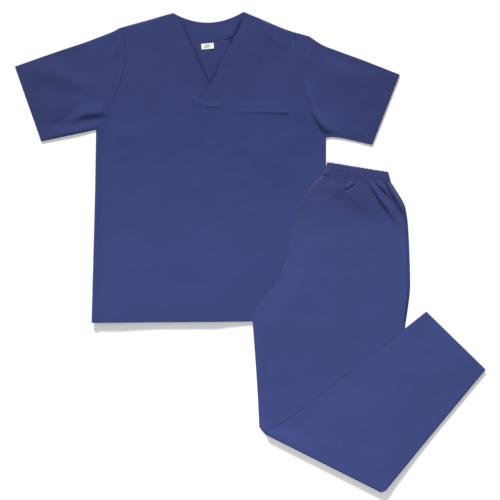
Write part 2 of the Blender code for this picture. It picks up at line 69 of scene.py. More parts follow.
NECK_RIGHT, NECK_LEFT = row(-0.0910, 0.7404), row(0.0761, 0.7433)
BACK_NECK_DROP = 0.024
OPENING_RIGHT, OPENING_LEFT = row(-0.0778, 0.7308), row(0.0765, 0.7372)
NECK_CROSSING = row(-0.0046, 0.5748)
BAND_WIDTH = 0.045
FOOT_LINE = row(-0.0286, 0.522), row(0.0146, 0.5095)
RISE_FROM, RISE_TO = 0.640, 0.668  # where the front climbs onto the back neck facing
CROSS_FROM, CROSS_TO = 0.615, 0.588  # where the left band climbs onto the right one
SHOULDER_RIGHT, SHOULDER_LEFT = row(-0.2134, 0.7068), row(0.1934, 0.6960)
SHOULDER_DIP_LEFT = [(0.1298, 0.7212), (0.1778, 0.7012)]
UNDERARM_RIGHT, UNDERARM_LEFT = row(-0.2770, 0.4608), row(0.2743, 0.4409)
CUFF_TOP_RIGHT, CUFF_FOOT_RIGHT = row(-0.4714, 0.6125), row(-0.4082, 0.4327)
CUFF_TOP_LEFT, CUFF_FOOT_LEFT = row(0.4510, 0.5933), row(0.3854, 0.4246)
POCKET_CORNER, POCKET_TILT = row(0.0545, 0.4999), -1.0
POCKET_WIDTH, POCKET_DEPTH, POCKET_CUT = 0.134, 0.146, 0.022
LABEL_PLACE, LABEL_SIZE, LABEL_TILT = row(-0.0094, 0.6610), (0.030, 0.0135), 5.0

ARMHOLE_RIGHT = [
    (-0.2086, 0.6756), (-0.2066, 0.6396), (-0.2122, 0.5988), (-0.2278, 0.5508), (-0.2518, 0.5028),
]
ARMHOLE_LEFT = [(0.1954, 0.6636), (0.1994, 0.5988), (0.2102, 0.5472), (0.2306, 0.5112), (0.2522, 0.4716)]
SIDE_RIGHT = [(-0.2794, 0.3156), (-0.2830, 0.1716)]
SIDE_LEFT = [(0.2743, 0.3756), (0.2798, 0.2196)]
SLEEVE_TOP_RIGHT = [(-0.2215, 0.7044), (-0.2398, 0.6948), (-0.3022, 0.6708), (-0.3742, 0.6468)]
SLEEVE_TOP_LEFT = [(0.2338, 0.6852), (0.2662, 0.6641), (0.2978, 0.6516), (0.3698, 0.6252)]
SLEEVE_UNDER_LEFT = [(0.2800, 0.4430), (0.2920, 0.4434), (0.3146, 0.4406)]

# The trousers, measured from the crotch
WAIST_TOP = row(0.1790, 0.3744), row(0.3250, 0.3509)
WAIST_FOOT = row(0.1692, 0.3444), row(0.3312, 0.3276)
FOLD_LEFT, FOLD_RIGHT = row(0.0216, -0.2738), row(0.3096, -0.4183)
HEM_INNER, HEM_OUTER = row(0.4166, 0.0163), row(0.5587, -0.1229)
SEAT_SEAM = [
    (0.1543, 0.3343), (0.1289, 0.3041), (0.1063, 0.2527), (0.0953, 0.2239), (0.0840, 0.1567),
    (0.0631, 0.0991), (0.0281, 0.0480), (0.0055, 0.0223), (0.0, 0.0020),
]
INSEAM = [(0.0005, -0.0168), (0.0084, -0.1248), (0.0127, -0.1968), (0.0158, -0.2604)]
SIDE_SEAM = [
    (0.3396, 0.3156), (0.3624, 0.2772), (0.3696, 0.2520), (0.3739, 0.2112), (0.3773, 0.1344),
    (0.3780, 0.0720), (0.3734, 0.0288), (0.3653, -0.0252), (0.3131, -0.4008),
]
TURNED_INSEAM = [
    (0.0374, -0.2698), (0.0811, -0.2424), (0.1270, -0.2092), (0.1848, -0.1640), (0.3144, -0.0638),
]
TURNED_SIDE = (0.3192, -0.4123)
FOLD_CORNER_CUT = 0.0135, 0.0040  # how far the knee fold's left and right corners are drawn in
PLY = 0.0009  # one ply of the legs and the gap over it
LEG = 3 * PLY + CLOTH  # the height of the leg's four plies
FOLD_AXIS = LEG + 0.0008  # the height of the axis that the plies bend round, and its distance from the edge
SEAM_PRESS, SEAM_PRESS_WIDTH = 0.62, 0.060  # how much the plies are pressed together at the inner seams
WAISTBAND_CUT, WAISTBAND_DEPTH = 0.66, 0.030
ELASTIC_ROWS = 0.24, 0.62  # shares of the band's depth at which the elastic is sewn down

# ---------------------------------------------------------------------------------------------------------
# Lines and plans


def walked(line):
    """The distance walked along a line of points, at each of them."""
    return np.concatenate([[0.0], np.cumsum(np.linalg.norm(np.diff(line, axis=0), axis=1))])


def resample(line, shares):
    """Points of the line at shares of its length."""
    far = walked(line)
    return np.stack([np.interp(shares * far[-1], far, line[:, k]) for k in range(line.shape[1])], axis=1)


def curve(rows, steps=12):
    """A Catmull-Rom spline: b + (c-a)t/2 + (2a-5b+4c-d)t^2/2 + (3b-a-3c+d)t^3/2 between each b and c."""
    points = np.array([np.asarray(p, float) for p in rows])
    ends = np.vstack([2 * points[0] - points[1], points, 2 * points[-1] - points[-2]])
    a, b, c, d = ends[:-3], ends[1:-2], ends[2:-1], ends[3:]
    t = (np.arange(steps) / steps)[:, None, None]
    line = b + 0.5 * ((c - a) * t + (2 * a - 5 * b + 4 * c - d) * t**2 + (3 * b - a - 3 * c + d) * t**3)
    return np.vstack([line.transpose(1, 0, 2).reshape(-1, points.shape[1]), points[-1:]])


def straight(*rows):
    """The points as a line, straight between them."""
    return np.array([np.asarray(p, float) for p in rows])


def left_of(way):
    """The way turned a quarter to its left."""
    return np.stack([-way[..., 1], way[..., 0]], axis=-1)


def offset(line, by):
    """The line moved to its left by a distance, its corners mitred."""
    way = np.diff(line, axis=0)
    way /= np.linalg.norm(way, axis=1, keepdims=True)
    side = left_of(way)
    mean = np.vstack([side[:1], side[:-1] + side[1:], side[-1:]])
    mean /= np.linalg.norm(mean, axis=1, keepdims=True)
    lean = np.concatenate([[1.0], (mean[1:-1] * side[1:]).sum(1), [1.0]])
    return line + mean * (by / np.maximum(lean, 0.5))[:, None]


def meeting(first, second):
    """The point where two lines cross, each given by two points."""
    (a, b), (c, d) = first, second
    along, other = b - a, d - c
    share = ((c - a)[0] * other[1] - (c - a)[1] * other[0]) / (along[0] * other[1] - along[1] * other[0])
    return a + along * share


def moved(line, right):
    """A two-point line moved to its right."""
    way = (line[1] - line[0]) / np.linalg.norm(line[1] - line[0])
    shift = row(way[1], -way[0]) * right
    return line[0] + shift, line[1] + shift


def beside(points, line):
    """For each point, how far along the line its nearest place is, and how far to the line's left it lies."""
    way = np.diff(line, axis=0)
    length = np.linalg.norm(way, axis=1)
    unit = way / length[:, None]
    far, off = np.empty(len(points)), np.empty(len(points))
    start = walked(line)
    for part in np.array_split(np.arange(len(points)), max(1, len(points) * len(line) // 4_000_000 + 1)):
        out = points[part, None] - line[:-1]
        run = np.clip((out * unit).sum(-1), 0, length)
        gap = out - run[..., None] * unit
        near = (gap**2).sum(-1).argmin(1)
        rows = np.arange(len(part))
        left = unit[near, 0] * out[rows, near, 1] - unit[near, 1] * out[rows, near, 0]
        far[part] = start[near] + run[rows, near]
        off[part] = np.where(left < 0, -1, 1) * np.linalg.norm(gap[rows, near], axis=-1)
    return far, off


def graded(length, low=0.0, high=0.0, fine=0.0014, coarse=0.0042):
    """Shares from 0 to 1, in fine steps within low of the start and high of the end, else in coarse ones."""
    low, high = min(low, length / 3), min(high, length / 3)
    parts = [
        np.linspace(0, low, max(1, round(low / fine)) + 1),
        np.linspace(low, length - high, max(2, round((length - low - high) / coarse)) + 1),
        np.linspace(length - high, length, max(1, round(high / fine)) + 1),
    ]
    return np.unique(np.round(np.concatenate(parts) / length, 9))


def coons(low, high, left, right, columns, rows):
    """A Coons patch: ruled across plus ruled up, less the blend of the corners.

    low and high run left to right, left and right run low to high; columns and rows are shares of them.
    """
    low, high = resample(low, columns), resample(high, columns)
    left, right = resample(left, rows), resample(right, rows)
    u, v = columns[None, :, None], rows[:, None, None]
    ruled = left[:, None] * (1 - u) + right[:, None] * u + low[None] * (1 - v) + high[None] * v
    return ruled - (low[0] * (1 - u) + low[-1] * u) * (1 - v) - (high[0] * (1 - u) + high[-1] * u) * v


def join(*grids):
    """Grids of plan points as one sheet: points, and quads counter-clockwise, welded where they meet."""
    points, quads, start = [], [], 0
    for grid in grids:
        rows, columns = grid.shape[:2]
        index = np.arange(rows * columns).reshape(rows, columns) + start
        corners = index[:-1, :-1], index[:-1, 1:], index[1:, 1:], index[1:, :-1]
        quads.append(np.stack(corners, -1).reshape(-1, 4))
        points.append(grid.reshape(-1, 2))
        start += rows * columns
    points, quads = np.vstack(points), np.vstack(quads)
    near = np.round(points / WELD).astype(int)
    _, first, back = np.unique(near, axis=0, return_index=True, return_inverse=True)
    return points[first], back.reshape(-1)[quads]


# ---------------------------------------------------------------------------------------------------------
# Relief


def smooth(value, low, high):
    """0 before low, 1 after high, and an S-shaped climb between them."""
    t = np.clip((value - low) / (high - low), 0, 1)
    return t * t * (3 - 2 * t)


def bell(distance, width):
    """exp(-(distance/width)^2)."""
    return np.exp(-((distance / width) ** 2))


def fold(points, rows, width, height, lean=0.0, fade=0.7):
    """A soft ridge, or a trough if height is negative, along a smooth line, faded at both ends.

    height * exp(-(off/width)^2) * sin(pi*share)^fade, with one flank wider than the other by the lean.
    """
    line = curve(rows)
    far, off = beside(points, line)
    share = np.clip(far / walked(line)[-1], 0, 1)
    flank = width * np.where(off > 0, 1 + lean, 1 - lean)
    return height * np.exp(-((off / flank) ** 2)) * np.sin(np.pi * share) ** fade


def folds(points, table):
    """The sum of a table's folds."""
    return sum(fold(points, *entry) for entry in table)


def swells(points, seed, size, height):
    """Gentle waves in the cloth: the sum of sixteen plane waves of random way, length and phase."""
    random = np.random.default_rng(seed)
    way, phase = random.uniform(0, TAU, 16), random.uniform(0, TAU, 16)
    number = TAU / (size * random.uniform(0.6, 1.8, 16))
    total = np.zeros(len(points))
    for angle, turn, k in zip(way, phase, number):
        total += np.sin(k * (points[:, 0] * np.cos(angle) + points[:, 1] * np.sin(angle)) + turn)
    return height * total / np.sqrt(8)


def pucker(points, line, pitch, reach, height, seed=1.0):
    """Ripples across a seam: sin of an uneven phase along it, dying away as a bell beside it."""
    far, off = beside(points, line)
    slow, quick = np.sin(TAU * far / (5.3 * pitch) + seed), np.sin(TAU * far / (2.7 * pitch))
    phase = TAU * far / pitch + 1.9 * slow + 1.1 * quick
    return height * (0.5 + 0.5 * np.sin(phase)) * bell(off, reach)


# ---------------------------------------------------------------------------------------------------------
# Meshes


def add_mesh(name, points, faces, material, uv=None):
    """A closed mesh riding on the one body, its faces turned outwards by the sign of its volume."""
    signed = 0.0
    for face_set in faces:
        for k in range(1, face_set.shape[1] - 1):
            a, b, c = points[face_set[:, 0]], points[face_set[:, k]], points[face_set[:, k + 1]]
            signed += (a * np.cross(b, c)).sum()
    lists = [face for face_set in faces for face in (face_set if signed > 0 else face_set[:, ::-1]).tolist()]
    mesh = bpy.data.meshes.new(name)
    mesh.from_pydata(points.tolist(), [], lists)
    mesh.polygons.foreach_set("use_smooth", np.ones(len(lists), bool))
    if uv is not None:
        corners = np.empty(len(mesh.loops), np.int32)
        mesh.loops.foreach_get("vertex_index", corners)
        layer = mesh.uv_layers.new(name="cloth_grain")
        layer.data.foreach_set("uv", uv[corners].astype(np.float32).ravel())
    mesh.materials.append(material)
    mesh.update()
    piece = bpy.data.objects.new(name, mesh)
    bpy.context.scene.collection.objects.link(piece)
    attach(piece, "root")
    return piece


def shell(name, plan, place, material, thick=CLOTH):
    """A thin closed shell over a plan: two faces of it, joined by a half-round edge of four steps.

    place(points, heights) puts plan points that lie at heights above the cloth's lower face.
    """
    points, quads = plan
    edges = np.concatenate([quads[:, [k, (k + 1) % 4]] for k in range(4)])
    count = len(points)
    key, back = edges[:, 0] * count + edges[:, 1], edges[:, 1] * count + edges[:, 0]
    rim = edges[~np.isin(key, back)]
    way = points[rim[:, 1]] - points[rim[:, 0]]
    way /= np.linalg.norm(way, axis=1, keepdims=True)
    out = np.zeros_like(points)
    for end in (0, 1):
        np.add.at(out, rim[:, end], -left_of(way))
    ids = np.unique(rim)
    out[ids] /= np.linalg.norm(out[ids], axis=1, keepdims=True)
    radius = thick / 2
    drawn = points - out * radius
    at = np.zeros(count, int)
    at[ids] = np.arange(len(ids))
    parts = [place(drawn, np.zeros(count)), place(drawn, np.full(count, thick))]
    levels = [rim]
    for ring, angle in enumerate(np.radians([-45, 0, 45])):
        spread = drawn[ids] + out[ids] * radius * np.cos(angle)
        parts.append(place(spread, np.full(len(ids), radius * (1 + np.sin(angle)))))
        levels.append(at[rim] + 2 * count + ring * len(ids))
    levels.append(rim + count)
    sides = [np.stack([a[:, 0], a[:, 1], b[:, 1], b[:, 0]], 1) for a, b in zip(levels, levels[1:])]
    uv = np.vstack([points, points, *[points[ids]] * 3])
    faces = np.vstack([quads[:, ::-1], quads + count, *sides])
    return add_mesh(name, np.vstack(parts), [faces], material, uv)


def laid(level, origin=TOP):
    """Places a cloth whose lower face lies at the height level(points)."""

    def place(points, heights):
        return np.column_stack([points + origin, level(points) + heights])

    return place


def flat_tube(name, plan, thick, radius, rise, material):
    """A cloth tube lying flat: an upper ply, a half-round turn, a lower ply and a turn back, with a wall.

    plan is a grid (along, over), drawn in by the radius at both side edges. rise lifts the upper ply.
    """
    rows, columns = plan.shape[:2]
    arc = np.radians([72, 54, 36, 18, 0, -18, -36, -54, -72])
    across, back = np.arange(columns), np.arange(columns)[::-1]
    steps = len(arc)
    j = np.concatenate([across, np.full(steps, columns - 1), back, np.zeros(steps, int)])
    stand = np.concatenate([np.ones(columns), np.sin(arc), -np.ones(columns), -np.sin(arc)])
    reach = np.concatenate([np.zeros(columns), np.cos(arc), np.zeros(columns), -np.cos(arc)])
    unit = plan[:, -1] - plan[:, 0]
    unit /= np.linalg.norm(unit, axis=1, keepdims=True)
    along = np.gradient(plan.mean(1), axis=0)
    along /= np.linalg.norm(along, axis=1, keepdims=True)

    def wall(size):
        flat = plan[:, j] + (reach * size)[None, :, None] * unit[:, None]
        height = radius + stand * size + np.maximum(stand, 0) * rise[:, j]
        return np.concatenate([flat, height[..., None]], axis=2)

    outer, inner = wall(radius), wall(radius - thick)
    lips = []
    for end, way in ((0, -1), (-1, 1)):
        lip = (outer[end] + inner[end]) / 2
        lip[:, :2] += along[end] * way * thick / 2
        lips.append(lip)
    around = len(j)
    index = np.arange(rows * around).reshape(rows, around)
    after = np.roll(index, -1, axis=1)
    last = 2 * rows * around

    def band(a, b, c, d):
        return np.stack([a, b, c, d], -1).reshape(-1, 4)

    faces = [
        band(index[:-1], after[:-1], after[1:], index[1:]),
        band(index[:-1], index[1:], after[1:], after[:-1]) + rows * around,
    ]
    ring, ring_after = np.arange(around), np.roll(np.arange(around), -1)
    for end, lip in ((0, last), (rows - 1, last + around)):
        out_a, out_b = end * around + ring, end * around + ring_after
        in_a, in_b = out_a + rows * around, out_b + rows * around
        lip_a, lip_b = lip + ring, lip + ring_after
        both = band(out_a, lip_a, lip_b, out_b), band(lip_a, in_a, in_b, lip_b)
        faces += list(both) if end == 0 else [face[:, ::-1] for face in both]
    points = np.vstack([outer.reshape(-1, 3), inner.reshape(-1, 3), *lips])
    points[:, :2] += TOP
    grain = np.stack(np.broadcast_arrays(plan[:, j, 0], plan[:, j, 1]), -1)
    uv = np.vstack([grain.reshape(-1, 2)] * 2 + [grain[0], grain[-1]])
    return add_mesh(name, points, [np.vstack(faces)], material, uv)


def stitches(name, runs, material, length=0.0026, gap=0.0011, width=0.00036):
    """A row of stitches on each run of surface points: short capsules with their ends sunk in the cloth."""
    along = np.array([0.0, 0.14, 0.5, 0.86, 1.0])
    girth = np.array([0.0, 0.8, 1.0, 0.8, 0.0])
    sink = -0.00030 * (2 * along - 1) ** 2 + 0.00010
    angle = TAU * np.arange(5) / 5
    starts, ways = [], []
    for line in runs:
        far = walked(line)
        count = max(1, int((far[-1] - 0.002) / (length + gap)))
        begin = (np.arange(count) * (length + gap) + 0.001) / far[-1]
        starts.append(resample(line, begin))
        ways.append(resample(line, begin + length / far[-1]) - starts[-1])
    start, way = np.vstack(starts), np.vstack(ways)
    unit = way / np.linalg.norm(way, axis=1, keepdims=True)
    side = np.cross([0, 0, 1.0], unit)
    side /= np.linalg.norm(side, axis=1, keepdims=True)
    up = np.cross(unit, side)
    spine = start[:, None] + way[:, None] * along[None, :, None] + up[:, None] * sink[None, :, None]
    ring = side[:, None] * np.cos(angle)[None, :, None] + up[:, None] * np.sin(angle)[None, :, None] * 0.7
    body = spine[:, 1:4, None] + ring[:, None] * (girth[1:4] * width / 2)[None, :, None, None]
    points = np.concatenate([body.reshape(len(start), 15, 3), spine[:, [0, 4]]], axis=1)
    here, after = np.arange(5), np.roll(np.arange(5), -1)
    walls = np.vstack([np.stack([here + k, after + k, after + k + 5, here + k + 5], 1) for k in (0, 5)])
    ends = np.vstack([
        np.stack([after, here, np.full(5, 15)], 1), np.stack([here + 10, after + 10, np.full(5, 16)], 1),
    ])
    base = (np.arange(len(start)) * 17)[:, None, None]
    faces = [(walls[None] + base).reshape(-1, 4), (ends[None] + base).reshape(-1, 3)]
    return add_mesh(name, points.reshape(-1, 3), faces, material)


def seam_row(line, by, place, height=CLOTH, low=0.0, high=1.0, step=0.003):
    """Surface points of a seam's stitch line: a plan line moved to its left, put on the cloth's face."""
    drawn = offset(line, by)
    shares = np.linspace(low, high, max(2, int(walked(drawn)[-1] * (high - low) / step)))
    flat = resample(drawn, shares)
    return place(flat, np.full(len(flat), height))


# ---------------------------------------------------------------------------------------------------------
# Materials


def nodes_of(name, base, roughness, sheen=0.0):
    """A new material with its tree and its one shader, set to a plain matt finish."""
    material = bpy.data.materials.new(name)
    material.use_nodes = True
    tree = material.node_tree
    shader = tree.nodes["Principled BSDF"]
    shader.inputs["Base Color"].default_value = (*base, 1.0)
    shader.inputs["Roughness"].default_value = roughness
    shader.inputs["Specular IOR Level"].default_value = 0.25
    shader.inputs["Sheen Weight"].default_value = sheen
    shader.inputs["Sheen Roughness"].default_value = 0.5
    return material, tree, shader


def node(tree, kind, settings=None, **inputs):
    """A node with its settings, and its inputs by name or as _number, each a value or a node's socket."""
    made = tree.nodes.new(kind)
    for key, value in (settings or {}).items():
        setattr(made, key, value)
    for key, value in inputs.items():
        socket = made.inputs[int(key[1:]) if key[0] == "_" else key.replace("_", " ")]
        if isinstance(value, bpy.types.NodeSocket):
            tree.links.new(value, socket)
        else:
            socket.default_value = value
    return made


def maths(tree, operation, *values):
    """The outcome of one sum on values or sockets."""
    inputs = {f"_{i}": value for i, value in enumerate(values)}
    return node(tree, "ShaderNodeMath", {"operation": operation}, **inputs).outputs[0]


def climb(tree, value, start, stop):
    """0 before start, 1 after stop, and an S-shaped climb between them."""
    settings = {"interpolation_type": "SMOOTHSTEP"}
    return node(tree, "ShaderNodeMapRange", settings, Value=value, From_Min=start, From_Max=stop).outputs[0]


def poplin(name, base, upper, outer, rise, spread, middle=0.0, thread=0.00042):
    """Plain weave on the cloth's own grain: warp over weft in even cells, weft over warp in odd ones.

    Painted shade: the colour darkens from base to upper over a rise in Y, and on to outer over a spread in X
    either way from the middle, standing in for light that falls off towards the top and the sides.
    """
    material, tree, shader = nodes_of(name, base, 0.86, sheen=0.10)
    grain = node(tree, "ShaderNodeUVMap", {"uv_map": "cloth_grain"}).outputs[0]
    parts = node(tree, "ShaderNodeSeparateXYZ", _0=grain)
    cells = [maths(tree, "MULTIPLY", parts.outputs[k], 1 / thread) for k in (0, 1)]
    waves = [maths(tree, "SINE", maths(tree, "MULTIPLY", cell, np.pi)) for cell in cells]
    arches = [maths(tree, "ABSOLUTE", wave) for wave in waves]
    floors = [maths(tree, "FLOOR", cell) for cell in cells]
    odd = maths(tree, "ABSOLUTE", maths(tree, "MODULO", maths(tree, "ADD", floors[0], floors[1]), 2.0))
    weave = node(
        tree, "ShaderNodeMix", {"data_type": "FLOAT"}, _0=odd,
        _2=maths(tree, "MULTIPLY", arches[0], maths(tree, "MULTIPLY_ADD", arches[1], 0.5, 0.5)),
        _3=maths(tree, "MULTIPLY", arches[1], maths(tree, "MULTIPLY_ADD", arches[0], 0.5, 0.5)),
    ).outputs[0]
    slubs = []
    for stretch in ((1500.0, 40.0, 1.0), (40.0, 1500.0, 1.0)):
        run = node(tree, "ShaderNodeMapping", _0=grain, Scale=stretch).outputs[0]
        noise = node(tree, "ShaderNodeTexNoise", Vector=run, Scale=1.0, Detail=2.0, Roughness=0.6)
        slubs.append(noise.outputs[0])
    slub = maths(tree, "ADD", slubs[0], slubs[1])
    where = node(tree, "ShaderNodeTexCoord").outputs["Object"]
    mottle = node(tree, "ShaderNodeTexNoise", Vector=where, Scale=9.0, Detail=4.0, Roughness=0.55).outputs[0]
    fuzz = node(tree, "ShaderNodeTexNoise", Vector=where, Scale=420.0, Detail=3.0, Roughness=0.7).outputs[0]
    tone = maths(tree, "MULTIPLY_ADD", slub, 0.10, 0.815)
    tone = maths(tree, "ADD", tone, maths(tree, "MULTIPLY_ADD", mottle, 0.10, -0.05))
    tone = maths(tree, "ADD", tone, maths(tree, "MULTIPLY_ADD", fuzz, 0.08, -0.04))
    tone = maths(tree, "ADD", tone, maths(tree, "MULTIPLY", weave, 0.18))
    # Painted shade: masks that darken the colour higher up in Y and further out in X from the middle
    spot = node(tree, "ShaderNodeSeparateXYZ", _0=where).outputs
    lowered = maths(tree, "SUBTRACT", spot[1], 0.08)
    high = climb(tree, maths(tree, "MULTIPLY_ADD", mottle, 0.16, lowered), *rise)
    wide = climb(tree, maths(tree, "ABSOLUTE", maths(tree, "SUBTRACT", spot[0], middle)), *spread)
    mix = {"data_type": "RGBA"}
    # Painted shade: the base colour mixed towards the darker upper colour, then the darker outer one
    painted_shade_colour = node(tree, "ShaderNodeMix", mix, _0=high, _6=(*base, 1.0), _7=(*upper, 1.0)).outputs[2]
    painted_shade_colour = node(tree, "ShaderNodeMix", mix, _0=wide, _6=painted_shade_colour, _7=(*outer, 1.0)).outputs[2]
    colour = node(
        tree, "ShaderNodeMix", {"data_type": "RGBA", "blend_type": "MULTIPLY"}, _0=1.0, _6=painted_shade_colour,
        _7=node(tree, "ShaderNodeCombineXYZ", _0=tone, _1=tone, _2=tone).outputs[0],
    ).outputs[2]
    tree.links.new(colour, shader.inputs["Base Color"])
    rough = maths(tree, "MULTIPLY_ADD", fuzz, 0.10, 0.80)
    tree.links.new(rough, shader.inputs["Roughness"])
    relief = maths(tree, "ADD", maths(tree, "MULTIPLY", weave, 0.7), maths(tree, "MULTIPLY", slub, 0.5))
    bump = node(tree, "ShaderNodeBump", Strength=0.35, Distance=0.00012, Height=relief).outputs[0]
    tree.links.new(bump, shader.inputs["Normal"])
    return material


def plain(name, base, roughness, grit=900.0, depth=0.00003):
    """A small part's finish: one colour, a fine grit in its tone and its relief."""
    material, tree, shader = nodes_of(name, base, roughness)
    where = node(tree, "ShaderNodeTexCoord").outputs["Object"]
    grain = node(tree, "ShaderNodeTexNoise", Vector=where, Scale=grit, Detail=3.0).outputs[0]
    tone = maths(tree, "MULTIPLY_ADD", grain, 0.3, 0.85)
    colour = node(
        tree, "ShaderNodeMix", {"data_type": "RGBA", "blend_type": "MULTIPLY"}, _0=1.0, _6=(*base, 1.0),
        _7=node(tree, "ShaderNodeCombineXYZ", _0=tone, _1=tone, _2=tone).outputs[0],
    ).outputs[2]
    tree.links.new(colour, shader.inputs["Base Color"])
    bump = node(tree, "ShaderNodeBump", Strength=0.4, Distance=depth, Height=grain).outputs[0]
    tree.links.new(bump, shader.inputs["Normal"])
    return material


# In each cloth the second and third colours are painted shade: darker navies that the colour turns to higher
# up in Y and out to the sides (the trousers' third is their base itself)
poplin_top = poplin(
    "navy_poplin_top", (0.0235, 0.0386, 0.1535), (0.0224, 0.0318, 0.1310), (0.0200, 0.0272, 0.1085),
    rise=(0.02, 0.42), spread=(0.24, 0.46), middle=TOP[0] + 0.02,
)
poplin_trousers = poplin(
    "navy_poplin_trousers", (0.0293, 0.0442, 0.1663), (0.0272, 0.0338, 0.1300), (0.0293, 0.0442, 0.1663),
    rise=(0.02, 0.15), spread=(0.50, 0.80),
)
thread = plain("navy_thread", (0.030, 0.043, 0.150), 0.7)
label_tape = plain("label_tape", (0.82, 0.84, 0.80), 0.7)
label_thread = plain("label_thread", (0.16, 0.24, 0.20), 0.6)

# ---------------------------------------------------------------------------------------------------------
# The top: its lines

armhole_right = curve([SHOULDER_RIGHT, *ARMHOLE_RIGHT, UNDERARM_RIGHT])
armhole_left = curve([SHOULDER_LEFT, *ARMHOLE_LEFT, UNDERARM_LEFT])
side_right = straight(UNDERARM_RIGHT, *SIDE_RIGHT, (-HEM_HALF, -HEM_TILT))
side_left = straight(UNDERARM_LEFT, *SIDE_LEFT, (HEM_HALF, HEM_TILT))
hem_line = straight((-HEM_HALF, -HEM_TILT), (HEM_HALF, HEM_TILT))
edge_right, edge_left = (OPENING_RIGHT, NECK_CROSSING), (OPENING_LEFT, NECK_CROSSING)
seam_right, seam_left = moved(edge_right, BAND_WIDTH), moved(edge_left, -BAND_WIDTH)
band_top_right = meeting((NECK_RIGHT, SHOULDER_RIGHT), seam_right)
band_top_left = meeting((NECK_LEFT, row(*SHOULDER_DIP_LEFT[0])), seam_left)
foot_right, foot_left = meeting(seam_right, FOOT_LINE), meeting(seam_left, FOOT_LINE)
shoulder_seam_right = straight(SHOULDER_RIGHT, band_top_right)
shoulder_seam_left = straight(band_top_left, *SHOULDER_DIP_LEFT, SHOULDER_LEFT)
v_seam = straight(band_top_right, foot_right, foot_left, band_top_left)  # where the bands are sewn on
under_end, over_end = meeting(edge_right, seam_left), meeting(edge_left, seam_right)  # the bands' inner feet
across_neck = (np.arange(25) / 24)[:, None]
neck_drop = row(0, 4 * BACK_NECK_DROP)  # of a parabola
back_neck = NECK_RIGHT + (NECK_LEFT - NECK_RIGHT) * across_neck - neck_drop * across_neck * (1 - across_neck)

# The trousers' outline over the top, which presses it flat
pressed_edge = np.vstack([
    WAIST_TOP[1][None], WAIST_TOP[0][None], WAIST_FOOT[0][None], curve(SEAT_SEAM), straight(*INSEAM),
]) + TROUSERS - TOP

# Creases of the front, each: the points of its line, half width, height, lean, fade
FRONT_FOLDS = [
    ([(-0.0300, 0.4600), (-0.0156, 0.4483), (0.0100, 0.4350)], 0.010, -0.0006),
    ([(0.0700, 0.4150), (0.0950, 0.3750), (0.1300, 0.3200)], 0.014, -0.0009),
    ([(0.1900, 0.4150), (0.2120, 0.3900), (0.2450, 0.3600)], 0.013, -0.0009),
    ([(0.0300, 0.3750), (0.0492, 0.3595), (0.0750, 0.3500)], 0.010, -0.0006),
    ([(0.1300, 0.7150), (0.1418, 0.6859), (0.1700, 0.6550)], 0.007, 0.0014, 0.3),
    ([(0.1050, 0.6600), (0.1116, 0.6475), (0.1180, 0.6250)], 0.011, 0.0010),
    ([(-0.2604, 0.4603), (-0.2560, 0.3700), (-0.2600, 0.2100)], 0.017, -0.0010),
    ([(-0.2650, 0.3900), (-0.2604, 0.3763), (-0.2480, 0.3650)], 0.008, -0.0008),
    ([(-0.2680, 0.3520), (-0.2604, 0.3403), (-0.2460, 0.3300)], 0.008, -0.0008),
    ([(-0.2780, 0.2460), (-0.2700, 0.2347), (-0.2520, 0.2300)], 0.007, -0.0008),
    ([(-0.2550, 0.4700), (-0.2150, 0.4500), (-0.1500, 0.4450)], 0.015, 0.0008),
    ([(0.2550, 0.4600), (0.2200, 0.4450), (0.1700, 0.4400)], 0.014, 0.0008),
    ([(-0.1900, 0.6500), (-0.1650, 0.5800), (-0.1500, 0.5000)], 0.022, 0.0007),
    ([(-0.2300, 0.1500), (-0.1000, 0.1300), (0.0500, 0.1450)], 0.030, 0.0007),
    ([(-0.0600, 0.2600), (0.0200, 0.2350), (0.0900, 0.2500)], 0.026, -0.0006),
    ([(-0.0450, 0.5400), (-0.0390, 0.5310), (-0.0250, 0.5160)], 0.0040, 0.0016, 0.6, 1.0),
    ([(-0.0340, 0.5200), (-0.0150, 0.5175), (0.0080, 0.5160), (0.0320, 0.5150)], 0.0055, 0.0011, 0.5, 1.0),
]
# At the right armpit a tuck runs over the armhole's seam, and the sleeve's lower edge stands up under it
SLEEVE_RIGHT_TUCKS = [
    (
        [
            (-0.3480, 0.4790), (-0.3250, 0.4880), (-0.3050, 0.4955), (-0.2820, 0.4990), (-0.2600, 0.5000),
            (-0.2320, 0.4990),
        ],
        0.0120, 0.0034, 0.35, 1.4,
    ),
    ([(-0.4100, 0.4390), (-0.3400, 0.4535), (-0.2950, 0.4635), (-0.2450, 0.4745)], 0.0140, 0.0018, 0.0, 1.0),
]


def press(points, reach=0.07):
    """1 where nothing lies on the top, falling to 0 under the trousers."""
    return smooth(-beside(points, pressed_edge)[1], -0.01, reach)


def edge_gap(points, *lines):
    """The distance to the nearest of the lines."""
    return np.min([np.abs(beside(points, line)[1]) for line in lines], axis=0)


def over_facing(points):
    """1 where the front lies on the back neck facing, and not just on the back."""
    return smooth(points[:, 1], RISE_FROM, RISE_TO) * (1 - smooth(np.abs(points[:, 0] + 0.005), 0.118, 0.165))


SEWN_ON = 0.0005  # the height of a sewn-on piece's lower face over the front's
FLUSH = 0.00047  # how far the front swells to be level with it at its seam


def pocket_frame(points):
    """How far right of the pocket's corner a point lies along the mouth, and how far above the mouth."""
    angle = np.radians(POCKET_TILT)
    out = points - POCKET_CORNER
    return out @ row(np.cos(angle), np.sin(angle)), out @ row(-np.sin(angle), np.cos(angle))


def pocket_depth(points, beyond):
    """How far inside of the pocket's outline a point lies, the mouth taken to lie beyond its own line."""
    right, up = pocket_frame(points)
    inward = np.minimum(right, POCKET_WIDTH - right)
    corner = (inward + up + POCKET_DEPTH - POCKET_CUT) / np.sqrt(2)
    return np.min([inward, up + POCKET_DEPTH, beyond - up, corner], axis=0)


